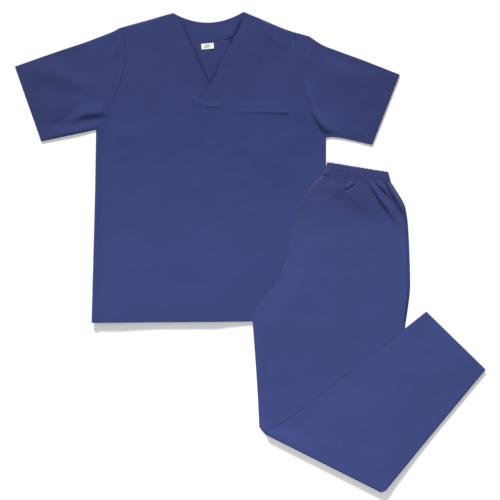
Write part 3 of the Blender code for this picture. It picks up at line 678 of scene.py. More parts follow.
def mouth_swell(points):
    """The front swelling a little just above the pocket's mouth, and diving into it."""
    right, up = pocket_frame(points)
    across = smooth(right, -0.004, 0.03) * (1 - smooth(right, POCKET_WIDTH - 0.008, POCKET_WIDTH + 0.002))
    uneven = 0.55 + 0.55 * right / POCKET_WIDTH
    return 0.0018 * across * uneven * smooth(up, 0.0004, 0.0028) * np.exp(-np.maximum(up - 0.0032, 0) / 0.011)


def hem_lift(points):
    """The hem's stiff double turn holds the lower part of the top a little off the table."""
    far, off = beside(points, hem_line)
    uneven = 0.9 + 0.1 * np.sin(TAU * far / 0.31 + 0.6)
    weighed = 0.35 + 0.65 * press(points, 0.13)
    return 0.0054 * uneven * (1 - smooth(np.abs(off), 0.0, 0.22)) * weighed


def back_level(points):
    """The back lies on the table, but for the hem; it rises to be level with the facing's lower edge."""
    below = facing_side(points)
    return hem_lift(points) + 0.00057 * smooth(below, -0.004, 0.0) * (1 - smooth(below, 0.02, 0.09))


def facing_side(points):
    """How far below the facing's lower edge a point lies."""
    return -beside(points, back_neck)[1] - BAND_WIDTH


def front_base(points):
    """The front's lower face: on the back, higher over the facing, level with the sleeves, and its folds."""
    free = press(points)
    sides = edge_gap(points, side_right, side_left)
    shoulders = edge_gap(points, shoulder_seam_right, shoulder_seam_left)
    armholes = edge_gap(points, armhole_right, armhole_left)
    hem = np.abs(beside(points, hem_line)[1])
    upper = smooth(points[:, 1], 0.50, 0.60)
    level = hem_lift(points) + 0.0006 + 0.0002 * smooth(sides, 0, 0.006)
    level += 0.0006 * np.maximum(over_facing(points), 1 - smooth(edge_gap(points, back_neck), 0.05, 0.15))
    sleeved = (1 - smooth(armholes, 0.0, 0.030)) * smooth(points[:, 1], 0.455, 0.475)
    level += (2 * SLEEVE_RADIUS - 0.0012) * sleeved
    relief = folds(points, FRONT_FOLDS) + swells(points, 3, 0.16, 0.00035) + swells(points, 8, 0.05, 0.00007)
    relief += 0.0006 * smooth(sides, 0.004, 0.06) * smooth(hem, 0.0, 0.05)
    relief += 0.0011 * bell(sides - 0.006, 0.006) + 0.0003 * upper * bell(armholes - 0.007, 0.006)
    relief += pucker(points, side_right, 0.011, 0.014, 0.0002)
    relief += pucker(points, side_left, 0.011, 0.014, 0.0002, 2.0)
    puckers = pucker(points, armhole_right, 0.010, 0.011, 1) + pucker(points, armhole_left, 0.010, 0.011, 1)
    relief += 0.00015 * upper * puckers
    relief += pucker(points, hem_line + row(0, 0.019), 0.013, 0.012, 0.00007) + mouth_swell(points)
    relief += 0.00010 * (1 - smooth(hem, 0.0180, 0.0210))
    edges = smooth(armholes, -0.004, 0.030) * smooth(shoulders, 0, 0.005)
    tuck = folds(points, SLEEVE_RIGHT_TUCKS) * smooth(sides, -0.001, 0.004)
    return level + np.maximum(relief, -0.0001) * free * edges + armpit_bulge(points) + tuck


def front_level(points):
    """As the base, but swelling gently up to the neck bands and the pocket, and flat under the pocket."""
    inside = pocket_depth(points, 0.0005)
    outside = np.maximum(0, np.minimum(-beside(points, v_seam)[1], -inside))
    swell = (1 - smooth(outside, 0, 0.05)) * (1 - smooth(inside, 0.002, 0.008))
    return front_base(points) + FLUSH * swell


def armpit_bulge(points):
    """The front standing up along the lower part of the left armhole, where the sleeve is tucked in."""
    far, off = beside(points, armhole_left)
    return 0.0012 * bell(far - 0.225, 0.045) * np.exp(-np.abs(off) / 0.022)


# How high each band's inner edge stands, at even shares of the way up it
BAND_EDGE_RIGHT = 0.0038, 0.0042, 0.0036, 0.0034, 0.0036, 0.0010
BAND_EDGE_LEFT = (
    -0.0003, -0.0004, 0.0002, 0.0014, 0.0016, 0.0005, 0.0012, 0.0005, 0.0022, 0.0026, 0.0024, 0.0008,
)


def standing_edge(points, line, heights, reach):
    """A band's inner edge turned up sharply, by heights at even shares of the way along it."""
    far, off = beside(points, line)
    share = far / walked(line)[-1]
    return np.interp(share, np.linspace(0, 1, len(heights)), heights) * np.exp(-np.abs(off) / reach)


def band_level(points):
    """The right band, flush with the front; it goes down where the left band's edge crosses over it."""
    _, over = beside(points, straight(over_end, NECK_CROSSING))
    crossing = 1 - smooth(points[:, 1], CROSS_TO, CROSS_FROM)
    sunk = 0.00018 * smooth(-over, -0.001, 0.002) + 0.0007 * bell(over, 0.0020)
    edge = standing_edge(points, straight(NECK_CROSSING, OPENING_RIGHT), BAND_EDGE_RIGHT, 0.0017)
    return front_base(points) + SEWN_ON - crossing * sunk + edge * smooth(points[:, 1], 0.576, 0.588)


def left_band_level(points):
    """Flush with the front above, and over the right band below the place where they cross."""
    crossing = 1 - smooth(points[:, 1], CROSS_TO, CROSS_FROM)
    inside = beside(points, v_seam)[1]
    over = crossing * smooth(inside, 0.001, 0.020)
    edge = standing_edge(points, straight(over_end, OPENING_LEFT), BAND_EDGE_LEFT, 0.0024)
    return front_base(points) + SEWN_ON + 0.0005 * over + edge


# ---------------------------------------------------------------------------------------------------------
# The top: its pieces


def sheet_of(piece, plan):
    """Works out the width and length of a piece's plan; nothing more is done with them."""
    points, quads = plan
    width, length = np.ptp(points, axis=0)


def make_back():
    """The back in one patch, from the hem to the shoulders and the neck."""
    right = np.vstack([side_right[::-1], armhole_right[::-1][1:]])
    left = np.vstack([side_left[::-1], armhole_left[::-1][1:]])
    shoulders = np.vstack([
        shoulder_seam_right[:1], back_neck, straight(*SHOULDER_DIP_LEFT), SHOULDER_LEFT[None],
    ])
    columns, rows = graded(0.57, 0.008, 0.008, coarse=0.0062), graded(0.74, 0.022, 0.004, coarse=0.0062)
    plan = join(coons(hem_line, shoulders, right, left, columns, rows))
    place = laid(back_level)
    piece = shell("top_back_panel", plan, place, poplin_top)
    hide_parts("top_back")
    return piece, plan, place


def make_front():
    """The front in five patches around its V, which runs on a little under the bands."""
    hem_right, hem_left = row(-0.045, -0.0004), row(0.035, 0.0003)
    tuck_top_right, tuck_right, tuck_left, tuck_top_left = offset(v_seam, 0.0025)
    shoulder_right = np.vstack([shoulder_seam_right, tuck_top_right])
    shoulder_left = np.vstack([tuck_top_left, shoulder_seam_left])
    lower_rows, upper_rows = graded(0.5, 0.024, coarse=0.0040), graded(0.24, 0, 0.012)
    right_columns, left_columns = graded(0.25, 0.012, 0.004), graded(0.26, 0.004, 0.012)
    middle = np.linspace(0, 1, 15)
    low_right, low_left = straight(UNDERARM_RIGHT, tuck_right), straight(tuck_left, UNDERARM_LEFT)
    down_right, down_left = straight(hem_right, tuck_right), straight(hem_left, tuck_left)
    hem_stops = (hem_line[0], hem_right, hem_left, hem_line[1])
    hem_parts = [straight(*ends) for ends in zip(hem_stops, hem_stops[1:])]
    low_middle = straight(tuck_right, tuck_left)
    v_right, v_left = straight(tuck_right, tuck_top_right), straight(tuck_left, tuck_top_left)
    grids = [
        coons(hem_parts[0], low_right, side_right[::-1], down_right, right_columns, lower_rows),
        coons(hem_parts[1], low_middle, down_right, down_left, middle, lower_rows),
        coons(hem_parts[2], low_left, down_left, side_left[::-1], left_columns, lower_rows),
        coons(low_right, shoulder_right, armhole_right[::-1], v_right, right_columns, upper_rows),
        coons(low_left, shoulder_left, v_left, armhole_left[::-1], left_columns, upper_rows),
    ]
    plan = join(*grids)
    place = laid(front_level)
    piece = shell("top_front_panel", plan, place, poplin_top)
    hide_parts("top_front")
    return piece, plan, place


def make_bands():
    """The two neck bands, each one patch from its foot up to the shoulder."""
    rows = graded(0.235, 0.02, 0.004, coarse=0.0024)
    columns = graded(BAND_WIDTH, 0.006, 0.006, fine=0.0008, coarse=0.0022)
    right_plan = join(coons(
        straight(foot_right, foot_left, under_end), straight(band_top_right, NECK_RIGHT),
        straight(foot_right, band_top_right), straight(under_end, OPENING_RIGHT, NECK_RIGHT), columns, rows,
    ))
    left_plan = join(coons(
        straight(over_end, foot_right, foot_left), straight(NECK_LEFT, band_top_left),
        straight(over_end, OPENING_LEFT, NECK_LEFT), straight(foot_left, band_top_left), columns, rows,
    ))
    right_place, left_place = laid(band_level), laid(left_band_level)
    right = shell("neck_band_right_wrap", right_plan, right_place, poplin_top)
    left = shell("neck_band_left_wrap", left_plan, left_place, poplin_top)
    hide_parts("neck_band_right")
    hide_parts("neck_band_left")
    return (right, right_plan, right_place), (left, left_plan, left_place)


def facing_level(points):
    """The facing's lower face: close on the back, swelling a little above its left lower end."""
    up = points[:, 1] - 0.688
    swell = bell(up, np.where(up > 0, 0.022, 0.0085)) * bell(points[:, 0] - 0.044, 0.016)
    return 0.00052 + 0.0012 * swell


def make_facing():
    """The back neck facing: as wide as the bands, between their tops."""
    lower = offset(back_neck, -BAND_WIDTH)
    inside = (lower[:, 0] > band_top_right[0]) & (lower[:, 0] < band_top_left[0])
    lower = lower[inside]
    plan = join(coons(
        lower, back_neck, straight(lower[0], NECK_RIGHT), straight(lower[-1], NECK_LEFT),
        graded(0.2, coarse=0.003), graded(BAND_WIDTH, 0.004, 0.004, coarse=0.003),
    ))
    place = laid(facing_level)
    piece = shell("back_neck_facing", plan, place, poplin_top)
    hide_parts("neck_facing")
    return piece, plan, place, lower


def turned(corner, degrees, rows):
    """Points measured from a corner, turned by an angle about it."""
    angle = np.radians(degrees)
    along, up = row(np.cos(angle), np.sin(angle)), row(-np.sin(angle), np.cos(angle))
    return np.array([corner + along * x + up * y for x, y in rows])


# The label's woven bars, each: low, high, left, right, from the label's middle
LABEL_BARS = [
    (0.0022, 0.0040, -0.006, 0.006),
    (-0.0005, 0.0004, -0.009, 0.009),
    (-0.0032, -0.0023, -0.009, 0.004),
]


def label_patch(left, right, low, high, columns, rows):
    """A rectangle on the label, in even steps."""
    a, b, c, d = turned(LABEL_PLACE, LABEL_TILT, [(left, low), (right, low), (right, high), (left, high)])
    shares = np.linspace(0, 1, columns), np.linspace(0, 1, rows)
    return coons(straight(a, b), straight(d, c), straight(a, d), straight(b, c), *shares)


def make_label():
    """The label's tape, its two ends curling up, and the bars on it."""
    half_width, half_height = LABEL_SIZE[0] / 2, LABEL_SIZE[1] / 2
    tape, bar, base = 0.0004, 0.0002, 0.0011

    def curled(height):
        return laid(lambda points: height + 0.0011 * ((points[:, 0] - LABEL_PLACE[0]) / half_width) ** 2)

    plan = join(label_patch(-half_width, half_width, -half_height, half_height, 25, 13))
    piece = shell("neck_label_tape", plan, curled(base), label_tape, thick=tape)
    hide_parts("neck_label")
    bars = [label_patch(left, right, low, high, 13, 4) for low, high, left, right in LABEL_BARS]
    on_tape = curled(base + tape)
    marks = shell("neck_label_bars", join(*bars), on_tape, label_thread, thick=bar)
    sheet_of(piece, plan)


def pocket_level(points):
    """On the front, without the swell over its mouth, and its mouth a little open."""
    right, up = pocket_frame(points)
    middle = np.sin(np.pi * np.clip(right / POCKET_WIDTH, 0, 1)) ** 0.8
    gape = 0.0002 * middle * np.exp(np.minimum(up, 0) / 0.022)
    return front_base(points) - mouth_swell(points) + SEWN_ON + gape


def make_pocket():
    """The pocket, a patch with its two lower corners cut off. Also returns its six corners, as an outline."""
    corner = turned(POCKET_CORNER, POCKET_TILT, [
        (0, 0),
        (0, -POCKET_DEPTH + POCKET_CUT),
        (POCKET_CUT, -POCKET_DEPTH),
        (POCKET_WIDTH - POCKET_CUT, -POCKET_DEPTH),
        (POCKET_WIDTH, -POCKET_DEPTH + POCKET_CUT),
        (POCKET_WIDTH, 0),
    ])
    mouth, right_side, left_side = (straight(corner[a], corner[b]) for a, b in ((0, 5), (1, 0), (4, 5)))
    plan = join(coons(
        corner[1:5], mouth, right_side, left_side,
        graded(POCKET_WIDTH, 0.008, 0.008, coarse=0.0028), graded(POCKET_DEPTH, 0.008, 0.026, coarse=0.0028),
    ))
    place = laid(pocket_level)
    piece = shell("chest_pocket_patch", plan, place, poplin_top)
    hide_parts("chest_pocket")
    return piece, plan, place, corner


# Creases and tucks of the sleeves, with the same columns as the front's
SLEEVE_RIGHT_FOLDS = [
    (
        [(-0.4600, 0.6060), (-0.4322, 0.6010), (-0.3806, 0.5940), (-0.3293, 0.5770), (-0.2650, 0.5500)],
        0.017, 0.0014, 0.2,
    ),
    (
        [(-0.4300, 0.5640), (-0.3706, 0.5546), (-0.3396, 0.5477), (-0.3053, 0.5426), (-0.2650, 0.5300)],
        0.010, -0.0005,
    ),
    (
        [(-0.4350, 0.5180), (-0.3708, 0.5153), (-0.3293, 0.5153), (-0.2900, 0.5120), (-0.2600, 0.5100)],
        0.016, 0.0008, 0.2,
    ),
    ([(-0.4150, 0.4700), (-0.3400, 0.4770), (-0.2750, 0.4850)], 0.013, -0.0009),
    ([(-0.2260, 0.6800), (-0.2275, 0.6643), (-0.2330, 0.6300)], 0.006, 0.0009),
]
SLEEVE_LEFT_FOLDS = [
    ([(0.2420, 0.6750), (0.2412, 0.6643), (0.2280, 0.6150)], 0.006, 0.0010, 0.3),
    ([(0.2450, 0.6200), (0.3200, 0.5900), (0.4200, 0.5700)], 0.024, 0.0008),
    ([(0.2700, 0.6500), (0.3400, 0.6250), (0.4300, 0.5950)], 0.012, -0.0004),
    ([(0.3000, 0.5450), (0.3500, 0.5150), (0.4050, 0.5000)], 0.018, -0.0006),
    ([(0.3200, 0.4600), (0.3550, 0.4500), (0.3900, 0.4420)], 0.012, 0.0006),
]
SLEEVE_LEFT_TUCKS = [
    (
        [
            (0.2270, 0.5880), (0.2330, 0.5560), (0.2400, 0.5290), (0.2530, 0.4900), (0.2710, 0.4630),
            (0.2880, 0.4585), (0.3120, 0.4610),
        ],
        0.0088, 0.0050, 0.35, 1.5,
    ),
    ([(0.2400, 0.5100), (0.2570, 0.4800), (0.2720, 0.4680), (0.2950, 0.4650)], 0.0120, 0.0022, 0.2, 1.2),
]


def make_sleeve(side, seam, top_edge, cuff, under, table, tucks, seam_fade, seed):
    """A sleeve planned from armhole to cuff, its top and underarm edges drawn in by the turn's radius.

    The tucks fade out over seam_fade at the armhole. Returns a function that gives lines on its upper face.
    """
    cuff_edge, under_edge = straight(*cuff), straight(*under)
    plan = coons(
        seam, cuff_edge, top_edge, under_edge,
        graded(0.27, 0.008, 0.008, coarse=0.0030), graded(0.27, 0.010, 0.024, coarse=0.0034),
    )
    unit = plan[:, -1] - plan[:, 0]
    unit /= np.linalg.norm(unit, axis=1, keepdims=True)
    span = np.linalg.norm(plan[:, -1] - plan[:, 0], axis=1)
    share = np.linalg.norm(plan - plan[:, :1], axis=2) / span[:, None]
    plan = plan + unit[:, None] * ((1 - 2 * share) * SLEEVE_RADIUS)[..., None]
    flat = plan.reshape(-1, 2)
    cuff = np.abs(beside(flat, cuff_edge)[1])
    hole = np.abs(beside(flat, seam)[1])
    edges = edge_gap(flat, top_edge, under_edge)
    relief = folds(flat, table) + swells(flat, seed, 0.10, 0.00035) + swells(flat, seed + 1, 0.04, 0.00008)
    relief += 0.0004 * smooth(edges, 0, 0.05)
    relief = relief * smooth(edges, -0.004, 0.010) * smooth(cuff, -0.025, 0.035)
    relief += 0.0002 * (1 - smooth(cuff, 0.0215, 0.0235))
    relief += pucker(flat, cuff_edge, 0.015, 0.028, 0.00012)
    relief = np.maximum(relief, 3 * CLOTH - 2 * SLEEVE_RADIUS) * smooth(hole, -0.002, 0.018)
    relief += folds(flat, tucks) * smooth(edges, -0.001, 0.004) * smooth(hole, -0.001, seam_fade)
    relief += 0.0007 * smooth(flat[:, 1], 0.53, 0.60) * bell(hole - 0.003, 0.0035)
    rise = relief.reshape(plan.shape[:2])
    piece = flat_tube(f"sleeve_{side}_tube", plan, CLOTH, SLEEVE_RADIUS, rise, poplin_top)
    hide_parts(f"sleeve_{side}")
    sheet_of(piece, join(plan))

    def top_surface(shares_over, distance):
        """The upper face along a line across the sleeve, a distance in from the cuff."""
        depth = cuff.reshape(plan.shape[:2])[:, 0]
        at = np.interp(distance, depth[::-1], np.arange(len(depth))[::-1])
        low, mix = int(at), at - int(at)
        after = min(low + 1, len(plan) - 1)
        line = plan[low] * (1 - mix) + plan[after] * mix
        high = rise[low] * (1 - mix) + rise[after] * mix
        whole = np.column_stack([line + TOP, high + 2 * SLEEVE_RADIUS])
        return resample(whole, shares_over)

    return top_surface


back, back_plan, back_place = make_back()
front, front_plan, front_place = make_front()
(band_r, band_r_plan, band_r_place), (band_l, band_l_plan, band_l_place) = make_bands()
facing, facing_plan, facing_place, facing_edge = make_facing()
make_label()
pocket, pocket_plan, pocket_place, pocket_outline = make_pocket()
cuff_right = make_sleeve(
    "right", armhole_right, np.vstack([SHOULDER_RIGHT[None], curve([*SLEEVE_TOP_RIGHT, CUFF_TOP_RIGHT])]),
    (CUFF_TOP_RIGHT, CUFF_FOOT_RIGHT), [UNDERARM_RIGHT, CUFF_FOOT_RIGHT],
    SLEEVE_RIGHT_FOLDS, SLEEVE_RIGHT_TUCKS, seam_fade=0.0, seed=21,
)
cuff_left = make_sleeve(
    "left", armhole_left, np.vstack([SHOULDER_LEFT[None], curve([*SLEEVE_TOP_LEFT, CUFF_TOP_LEFT])]),
    (CUFF_TOP_LEFT, CUFF_FOOT_LEFT), [UNDERARM_LEFT, *SLEEVE_UNDER_LEFT, CUFF_FOOT_LEFT],
    SLEEVE_LEFT_FOLDS, SLEEVE_LEFT_TUCKS, seam_fade=0.006, seed=31,
)

# ---------------------------------------------------------------------------------------------------------
# The trousers

fold_way = (FOLD_RIGHT - FOLD_LEFT) / np.linalg.norm(FOLD_RIGHT - FOLD_LEFT)
fold_in = row(-fold_way[1], fold_way[0])  # from the fold's edge towards the waist
UNDER_SIDE = straight(SIDE_SEAM[-1], SIDE_SEAM[-2])
TOP_SIDE = side_left[::-1] + TOP - TROUSERS
TOP_HEM = hem_line + TOP - TROUSERS

# Creases of the outside leg and of the turned-up one, with the same columns as the front's
WAIST_FOLDS = [
    (
        [(0.2735, 0.3620), (0.2803, 0.3267), (0.3038, 0.2868), (0.3253, 0.2577), (0.3480, 0.2180)],
        0.0070, 0.0054, 0.6, 1.0,
    ),
    ([(0.2880, 0.3560), (0.2964, 0.3267), (0.3190, 0.3031), (0.3340, 0.2820)], 0.0058, 0.0034, 0.5, 0.9),
    (
        [(0.3110, 0.3660), (0.3204, 0.3258), (0.3434, 0.2843), (0.3611, 0.2524), (0.3700, 0.2250)],
        0.0066, 0.0056, 0.6,
    ),
    ([(0.2180, 0.3050), (0.2330, 0.3125), (0.2480, 0.3225)], 0.0024, -0.0020),
    ([(0.2200, 0.3100), (0.2330, 0.3175), (0.2440, 0.3270)], 0.0050, 0.0007),
    ([(0.2290, 0.3560), (0.2290, 0.3350), (0.2280, 0.3150)], 0.0060, -0.0016),
    ([(0.1780, 0.3350), (0.1954, 0.3175), (0.2140, 0.2960)], 0.0170, 0.0009, 0, 1.2),
    ([(0.1660, 0.3080), (0.2019, 0.2850), (0.2280, 0.2950)], 0.0050, -0.0005),
    ([(0.1850, 0.3150), (0.2350, 0.3000), (0.2800, 0.2650), (0.2950, 0.2200)], 0.0330, 0.0030, 0.3, 1.6),
    ([(0.2578, 0.2800), (0.2640, 0.2400), (0.2698, 0.1900)], 0.0150, -0.0007),
    ([(0.1700, 0.2500), (0.2026, 0.2450), (0.2300, 0.2250)], 0.0180, 0.0009, 0, 1.6),
    ([(0.3400, 0.1810), (0.3520, 0.1700), (0.3680, 0.1540)], 0.0040, -0.0008),
    ([(0.0150, 0.0050), (0.0190, -0.0800), (0.0240, -0.1750)], 0.0090, 0.0014),
    ([(0.1000, 0.1300), (0.1500, 0.1600), (0.2200, 0.1650)], 0.0200, 0.0005),
    ([(0.0300, 0.0300), (0.1100, 0.0500), (0.2000, 0.0300)], 0.0220, 0.0005),
    ([(0.2900, 0.1200), (0.3000, -0.0200), (0.2800, -0.1300)], 0.0260, 0.0004),
    ([(0.1300, -0.0500), (0.1500, -0.1200), (0.1400, -0.1900)], 0.0240, 0.0004),
]
TURNED_FOLDS = [
    ([(0.1200, -0.2700), (0.2500, -0.2200), (0.4200, -0.0900)], 0.030, 0.0004),
    ([(0.2200, -0.3300), (0.3500, -0.2600), (0.4700, -0.1300)], 0.022, -0.0003),
    ([(0.1500, -0.2900), (0.1900, -0.3100), (0.2500, -0.3500)], 0.018, 0.0003),
    ([(0.3500, -0.0900), (0.4300, -0.0700), (0.4800, -0.0700)], 0.020, 0.0003),
]
leg_left = np.vstack([WAIST_FOOT[0], curve(SEAT_SEAM), straight(*INSEAM), FOLD_LEFT])
leg_right = np.vstack([WAIST_FOOT[1], curve(SIDE_SEAM, 8)])
turned_left, turned_right = curve([*TURNED_INSEAM, HEM_INNER]), straight(TURNED_SIDE, HEM_OUTER)


def across(points):
    """How far a point lies above the knee fold's outer edge, towards the waist."""
    return (points - FOLD_RIGHT) @ fold_in


def resting(points):
    """The height the trousers lie at: over the top where they cross it, and sinking to the table beyond."""
    beyond_side, beyond_hem = -side_gap(points, TOP_SIDE), -side_gap(points, TOP_HEM)
    on_top = (1 - smooth(beyond_side, 0, 0.075)) * (1 - smooth(beyond_hem, 0, 0.15))
    return (REST_TOP + hem_lift(points + TROUSERS - TOP)) * on_top


def side_gap(points, line):
    """How far a point lies to the left of the endless straight line through a line's two ends."""
    start, way = line[0], line[-1] - line[0]
    way = way / np.linalg.norm(way)
    return (points - start) @ left_of(way)


def seam_press(points):
    """How much the leg's plies are pressed together near its inner seams."""
    left = np.abs(beside(points, leg_left)[1])
    return SEAM_PRESS * (1 - smooth(left, 0, SEAM_PRESS_WIDTH))


def squeeze(points):
    """How far the leg's plies stand apart: wholly in the middle, and pressed together at the seamed edges."""
    right = np.abs(beside(points, leg_right)[1])
    return 1 - seam_press(points) - 0.30 * (1 - smooth(right, 0, 0.008))


def leg_top(points):
    """The height of the leg under its turned-up part, and of the table beyond the leg's outer edge."""
    outside = -side_gap(points, UNDER_SIDE)
    return LEG * (1 - seam_press(points)) * (1 - smooth(outside, -0.01, 0.110))


def turned_squeeze(points):
    """How far the turned-up leg's plies stand apart: less and less towards its inner edge."""
    left, right = np.abs(beside(points, turned_left)[1]), np.abs(beside(points, turned_right)[1])
    return 1 - 0.72 * (1 - smooth(left, 0, 0.15)) - 0.12 * (1 - smooth(right, 0, 0.008))


def around_fold(ply, thick, relief, turned_relief):
    """Places a ply of the folded legs. Past the fold's axis it bends through half a turn, then lies back.

    A pattern point at depth d past the axis goes to angle pi*d/bend on a circle about the axis, and once
    round it to d - bend back over the leg, upside down. Returns the placing, the unfolding of a point that
    has been turned up, and the bend: the length of the half turn.
    """
    bend = np.pi * (FOLD_AXIS - ply - thick / 2)

    def place(points, heights):
        inside = across(points)
        past = FOLD_AXIS - inside
        height = ply + heights
        radius, angle = FOLD_AXIS - height, np.pi * np.clip(past / bend, 0, 1)
        bent = FOLD_AXIS - radius * np.sin(angle)
        now = np.where(past <= 0, inside, bent + np.maximum(0, past - bend))
        put = points + fold_in * (now - inside)[:, None]
        z = FOLD_AXIS - radius * np.cos(angle)
        leg, turned = past <= 0, past > bend
        away = smooth(-past[leg], 0.0, 0.03)
        spot = points[leg]
        z[leg] = height[leg] * (1 - (1 - squeeze(spot)) * away) + resting(spot) * away + relief(spot) * away
        away = smooth((past - bend)[turned], 0.0, 0.04)
        spot = put[turned]
        pressed = leg_top(spot) + radius[turned] * turned_squeeze(spot)
        z[turned] = z[turned] * (1 - away) + (pressed + turned_relief(spot)) * away
        return np.column_stack([put + TROUSERS, z])

    def unfold(points):
        inside = across(points)
        return points + fold_in * (2 * FOLD_AXIS - bend - 2 * inside)[..., None]

    return place, unfold, bend


def gathers(far):
    """The elastic's gathers at a distance along the waist, from 0 to 1: two sines of uneven pace."""
    uneven = 2.2 * np.sin(TAU * far / 0.047) + 1.1 * np.sin(TAU * far / 0.021 + 1.0)
    wide = np.sin(TAU * far / 0.0118 + uneven)
    narrow = np.sin(TAU * far / 0.0061 + 2.4 * np.sin(TAU * far / 0.033 + 2.0))
    return np.clip(0.5 + 0.32 * wide + 0.24 * narrow, 0, 1)


def waist_relief(points):
    """The outside leg's relief: gathers that die away below the elastic, creases, swells and puckers."""
    far, off = beside(points, straight(*WAIST_FOOT))
    below = np.abs(off)
    ruffle = gathers(far) * np.exp(-below / 0.012)
    puff = 0.0026 * np.exp(-below / 0.034)
    edges = edge_gap(points, leg_left, leg_right)
    free = smooth(beside(points, turned_left)[1], 0.0, 0.080)
    relief = folds(points, WAIST_FOLDS)
    relief = relief + swells(points, 13, 0.15, 0.00040) + swells(points, 14, 0.045, 0.00007)
    relief += 0.0010 * ruffle + puff + 0.0005 * smooth(edges, 0.003, 0.06)
    relief += pucker(points, curve(SEAT_SEAM), 0.011, 0.012, 0.00012)
    return np.maximum(relief, 0.0) * smooth(edges, 0, 0.008) * free


def turned_relief(points):
    """The turned-up leg's relief, and its hem's double turn."""
    hem_edge = straight(HEM_INNER, HEM_OUTER)
    edges = edge_gap(points, turned_left, turned_right)
    hem = np.abs(beside(points, hem_edge)[1])
    relief = folds(points, TURNED_FOLDS)
    relief = relief + swells(points, 17, 0.15, 0.0004) + swells(points, 18, 0.045, 0.00007)
    relief += 0.0005 * smooth(edges, 0.003, 0.06) + 0.00008 * (1 - smooth(hem, 0.0230, 0.0260))
    relief += pucker(points, hem_edge, 0.012, 0.032, 0.00007)
    return np.maximum(relief, 0.0) * smooth(edges, 0, 0.014) + turned_lip(points)


# The stretches of the turned-up leg's inner edge that stand up, each: start, stop, height
LIPS = [(-0.02, 0.105, 0.0007), (0.145, 0.245, 0.0005), (0.335, 0.395, 0.0006)]


def turned_lip(points):
    """The turned-up leg's inner edge standing up in stretches, each fading over 15 and 25 mm at its ends."""
    far, off = beside(points, turned_left)
    stretches = sum(
        height * smooth(far, start - 0.010, start + 0.005) * (1 - smooth(far, stop - 0.010, stop + 0.015))
        for start, stop, height in LIPS
    )
    return stretches * np.exp(-np.abs(off) / 0.0022)


def nothing(points):
    """No relief at all."""
    return np.zeros(len(points))


def cut_at(line, level):
    """A line that walks down across the fold, cut in two where it is at a height above the fold's edge."""
    height = across(line)
    below = int(np.argmax(height < level))
    share = (height[below - 1] - level) / (height[below - 1] - height[below])
    point = line[below - 1] + (line[below] - line[below - 1]) * share
    return np.vstack([line[:below], point]), np.vstack([point, line[below:]])


def leg_plan(unfold, bend, left_inset, right_inset, coarse, side_drawn=0.0, over_band=0.0, waist_fine=None):
    """A leg's pattern in three blocks: from the waist down to the fold, round it, and on to the hem.

    side_drawn draws the side seam in below the waist, over_band runs the cloth on up under the waistband.
    """
    waist_way = row(0.09, 1.0)
    left_cut, right_cut = FOLD_CORNER_CUT
    mid_fold = fold_in * (FOLD_AXIS - bend / 2)
    turned_inner = unfold(np.vstack([curve(TURNED_INSEAM), HEM_INNER]))
    turned_outer = unfold(straight(TURNED_SIDE, HEM_OUTER))
    left_corner = FOLD_LEFT + fold_way * left_cut + mid_fold
    right_corner = FOLD_RIGHT - fold_way * right_cut + mid_fold
    left = np.vstack([WAIST_FOOT[0], curve(SEAT_SEAM), straight(*INSEAM), left_corner, turned_inner])
    right = np.vstack([WAIST_FOOT[1], curve(SIDE_SEAM[:-1], 8), SIDE_SEAM[-1], right_corner, turned_outer])
    left, right = offset(left, left_inset), offset(right, -right_inset)
    left[0] += waist_way * over_band
    right[0] += waist_way * over_band
    if side_drawn:
        up = right[:, 1]
        upper = smooth(up, -0.06, 0.05) * (1 - smooth(up, 0.27, 0.32)) * (across(right) > 0.05)
        right = right - row(1, 0) * side_drawn * upper[:, None]
    left_leg, left_rest = cut_at(left, FOLD_AXIS + 0.012)
    right_leg, right_rest = cut_at(right, FOLD_AXIS + 0.012)
    left_bend, left_turned = cut_at(left_rest, FOLD_AXIS - bend - 0.006)
    right_bend, right_turned = cut_at(right_rest, FOLD_AXIS - bend - 0.006)
    columns = graded(0.33, 0.010, 0.010, fine=0.0016, coarse=coarse)
    waist_reach, fine = (0.13, waist_fine) if waist_fine else (0.03, 0.0018)
    blocks = (
        (left_leg, right_leg, graded(0.7, waist_reach, 0.0, fine=fine, coarse=coarse)),
        (left_bend, right_bend, np.linspace(0, 1, 31)),
        (left_turned, right_turned, graded(0.42, 0.0, 0.026, fine=0.0018, coarse=coarse)),
    )
    grids = [
        coons(straight(a[0], b[0]), straight(a[-1], b[-1]), a, b, columns, rows)[::-1]
        for a, b, rows in blocks
    ]
    return join(*grids)


def make_ply(name, node_name, ply, insets, coarse, relief=nothing, turned=nothing, **cut):
    """One leg panel: its pattern, folded at the knee at its own height among the plies."""
    place, unfold, bend = around_fold(ply, CLOTH, relief, turned)
    plan = leg_plan(unfold, bend, *insets, coarse, **cut)
    piece = shell(name, plan, place, poplin_trousers)
    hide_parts(node_name)
    return piece, plan, place, unfold


SIDE_DRAWN = 0.0050  # how far the upper leg's side lies inside of the lower leg's
outside_leg, outside_plan, _, _ = make_ply(
    "trouser_right_back", "trouser_back_right", 3 * PLY, (0.0010, 0.0012), 0.0034, waist_relief,
    side_drawn=SIDE_DRAWN, over_band=0.0016, waist_fine=0.0017,
)
under_leg, under_plan, under_place, under_unfold = make_ply(
    "trouser_left_back", "trouser_back_left", 0.0, (0.0002, 0.0002), 0.0046, turned=turned_relief,
)
front_upper, front_upper_plan, _, _ = make_ply(
    "trouser_right_front", "trouser_fronts", 2 * PLY, (0.0030, 0.0030), 0.0080, side_drawn=SIDE_DRAWN,
)
front_lower, front_lower_plan, _, _ = make_ply(
    "trouser_left_front", "trouser_fronts", PLY, (0.0022, 0.0018), 0.0080,
)


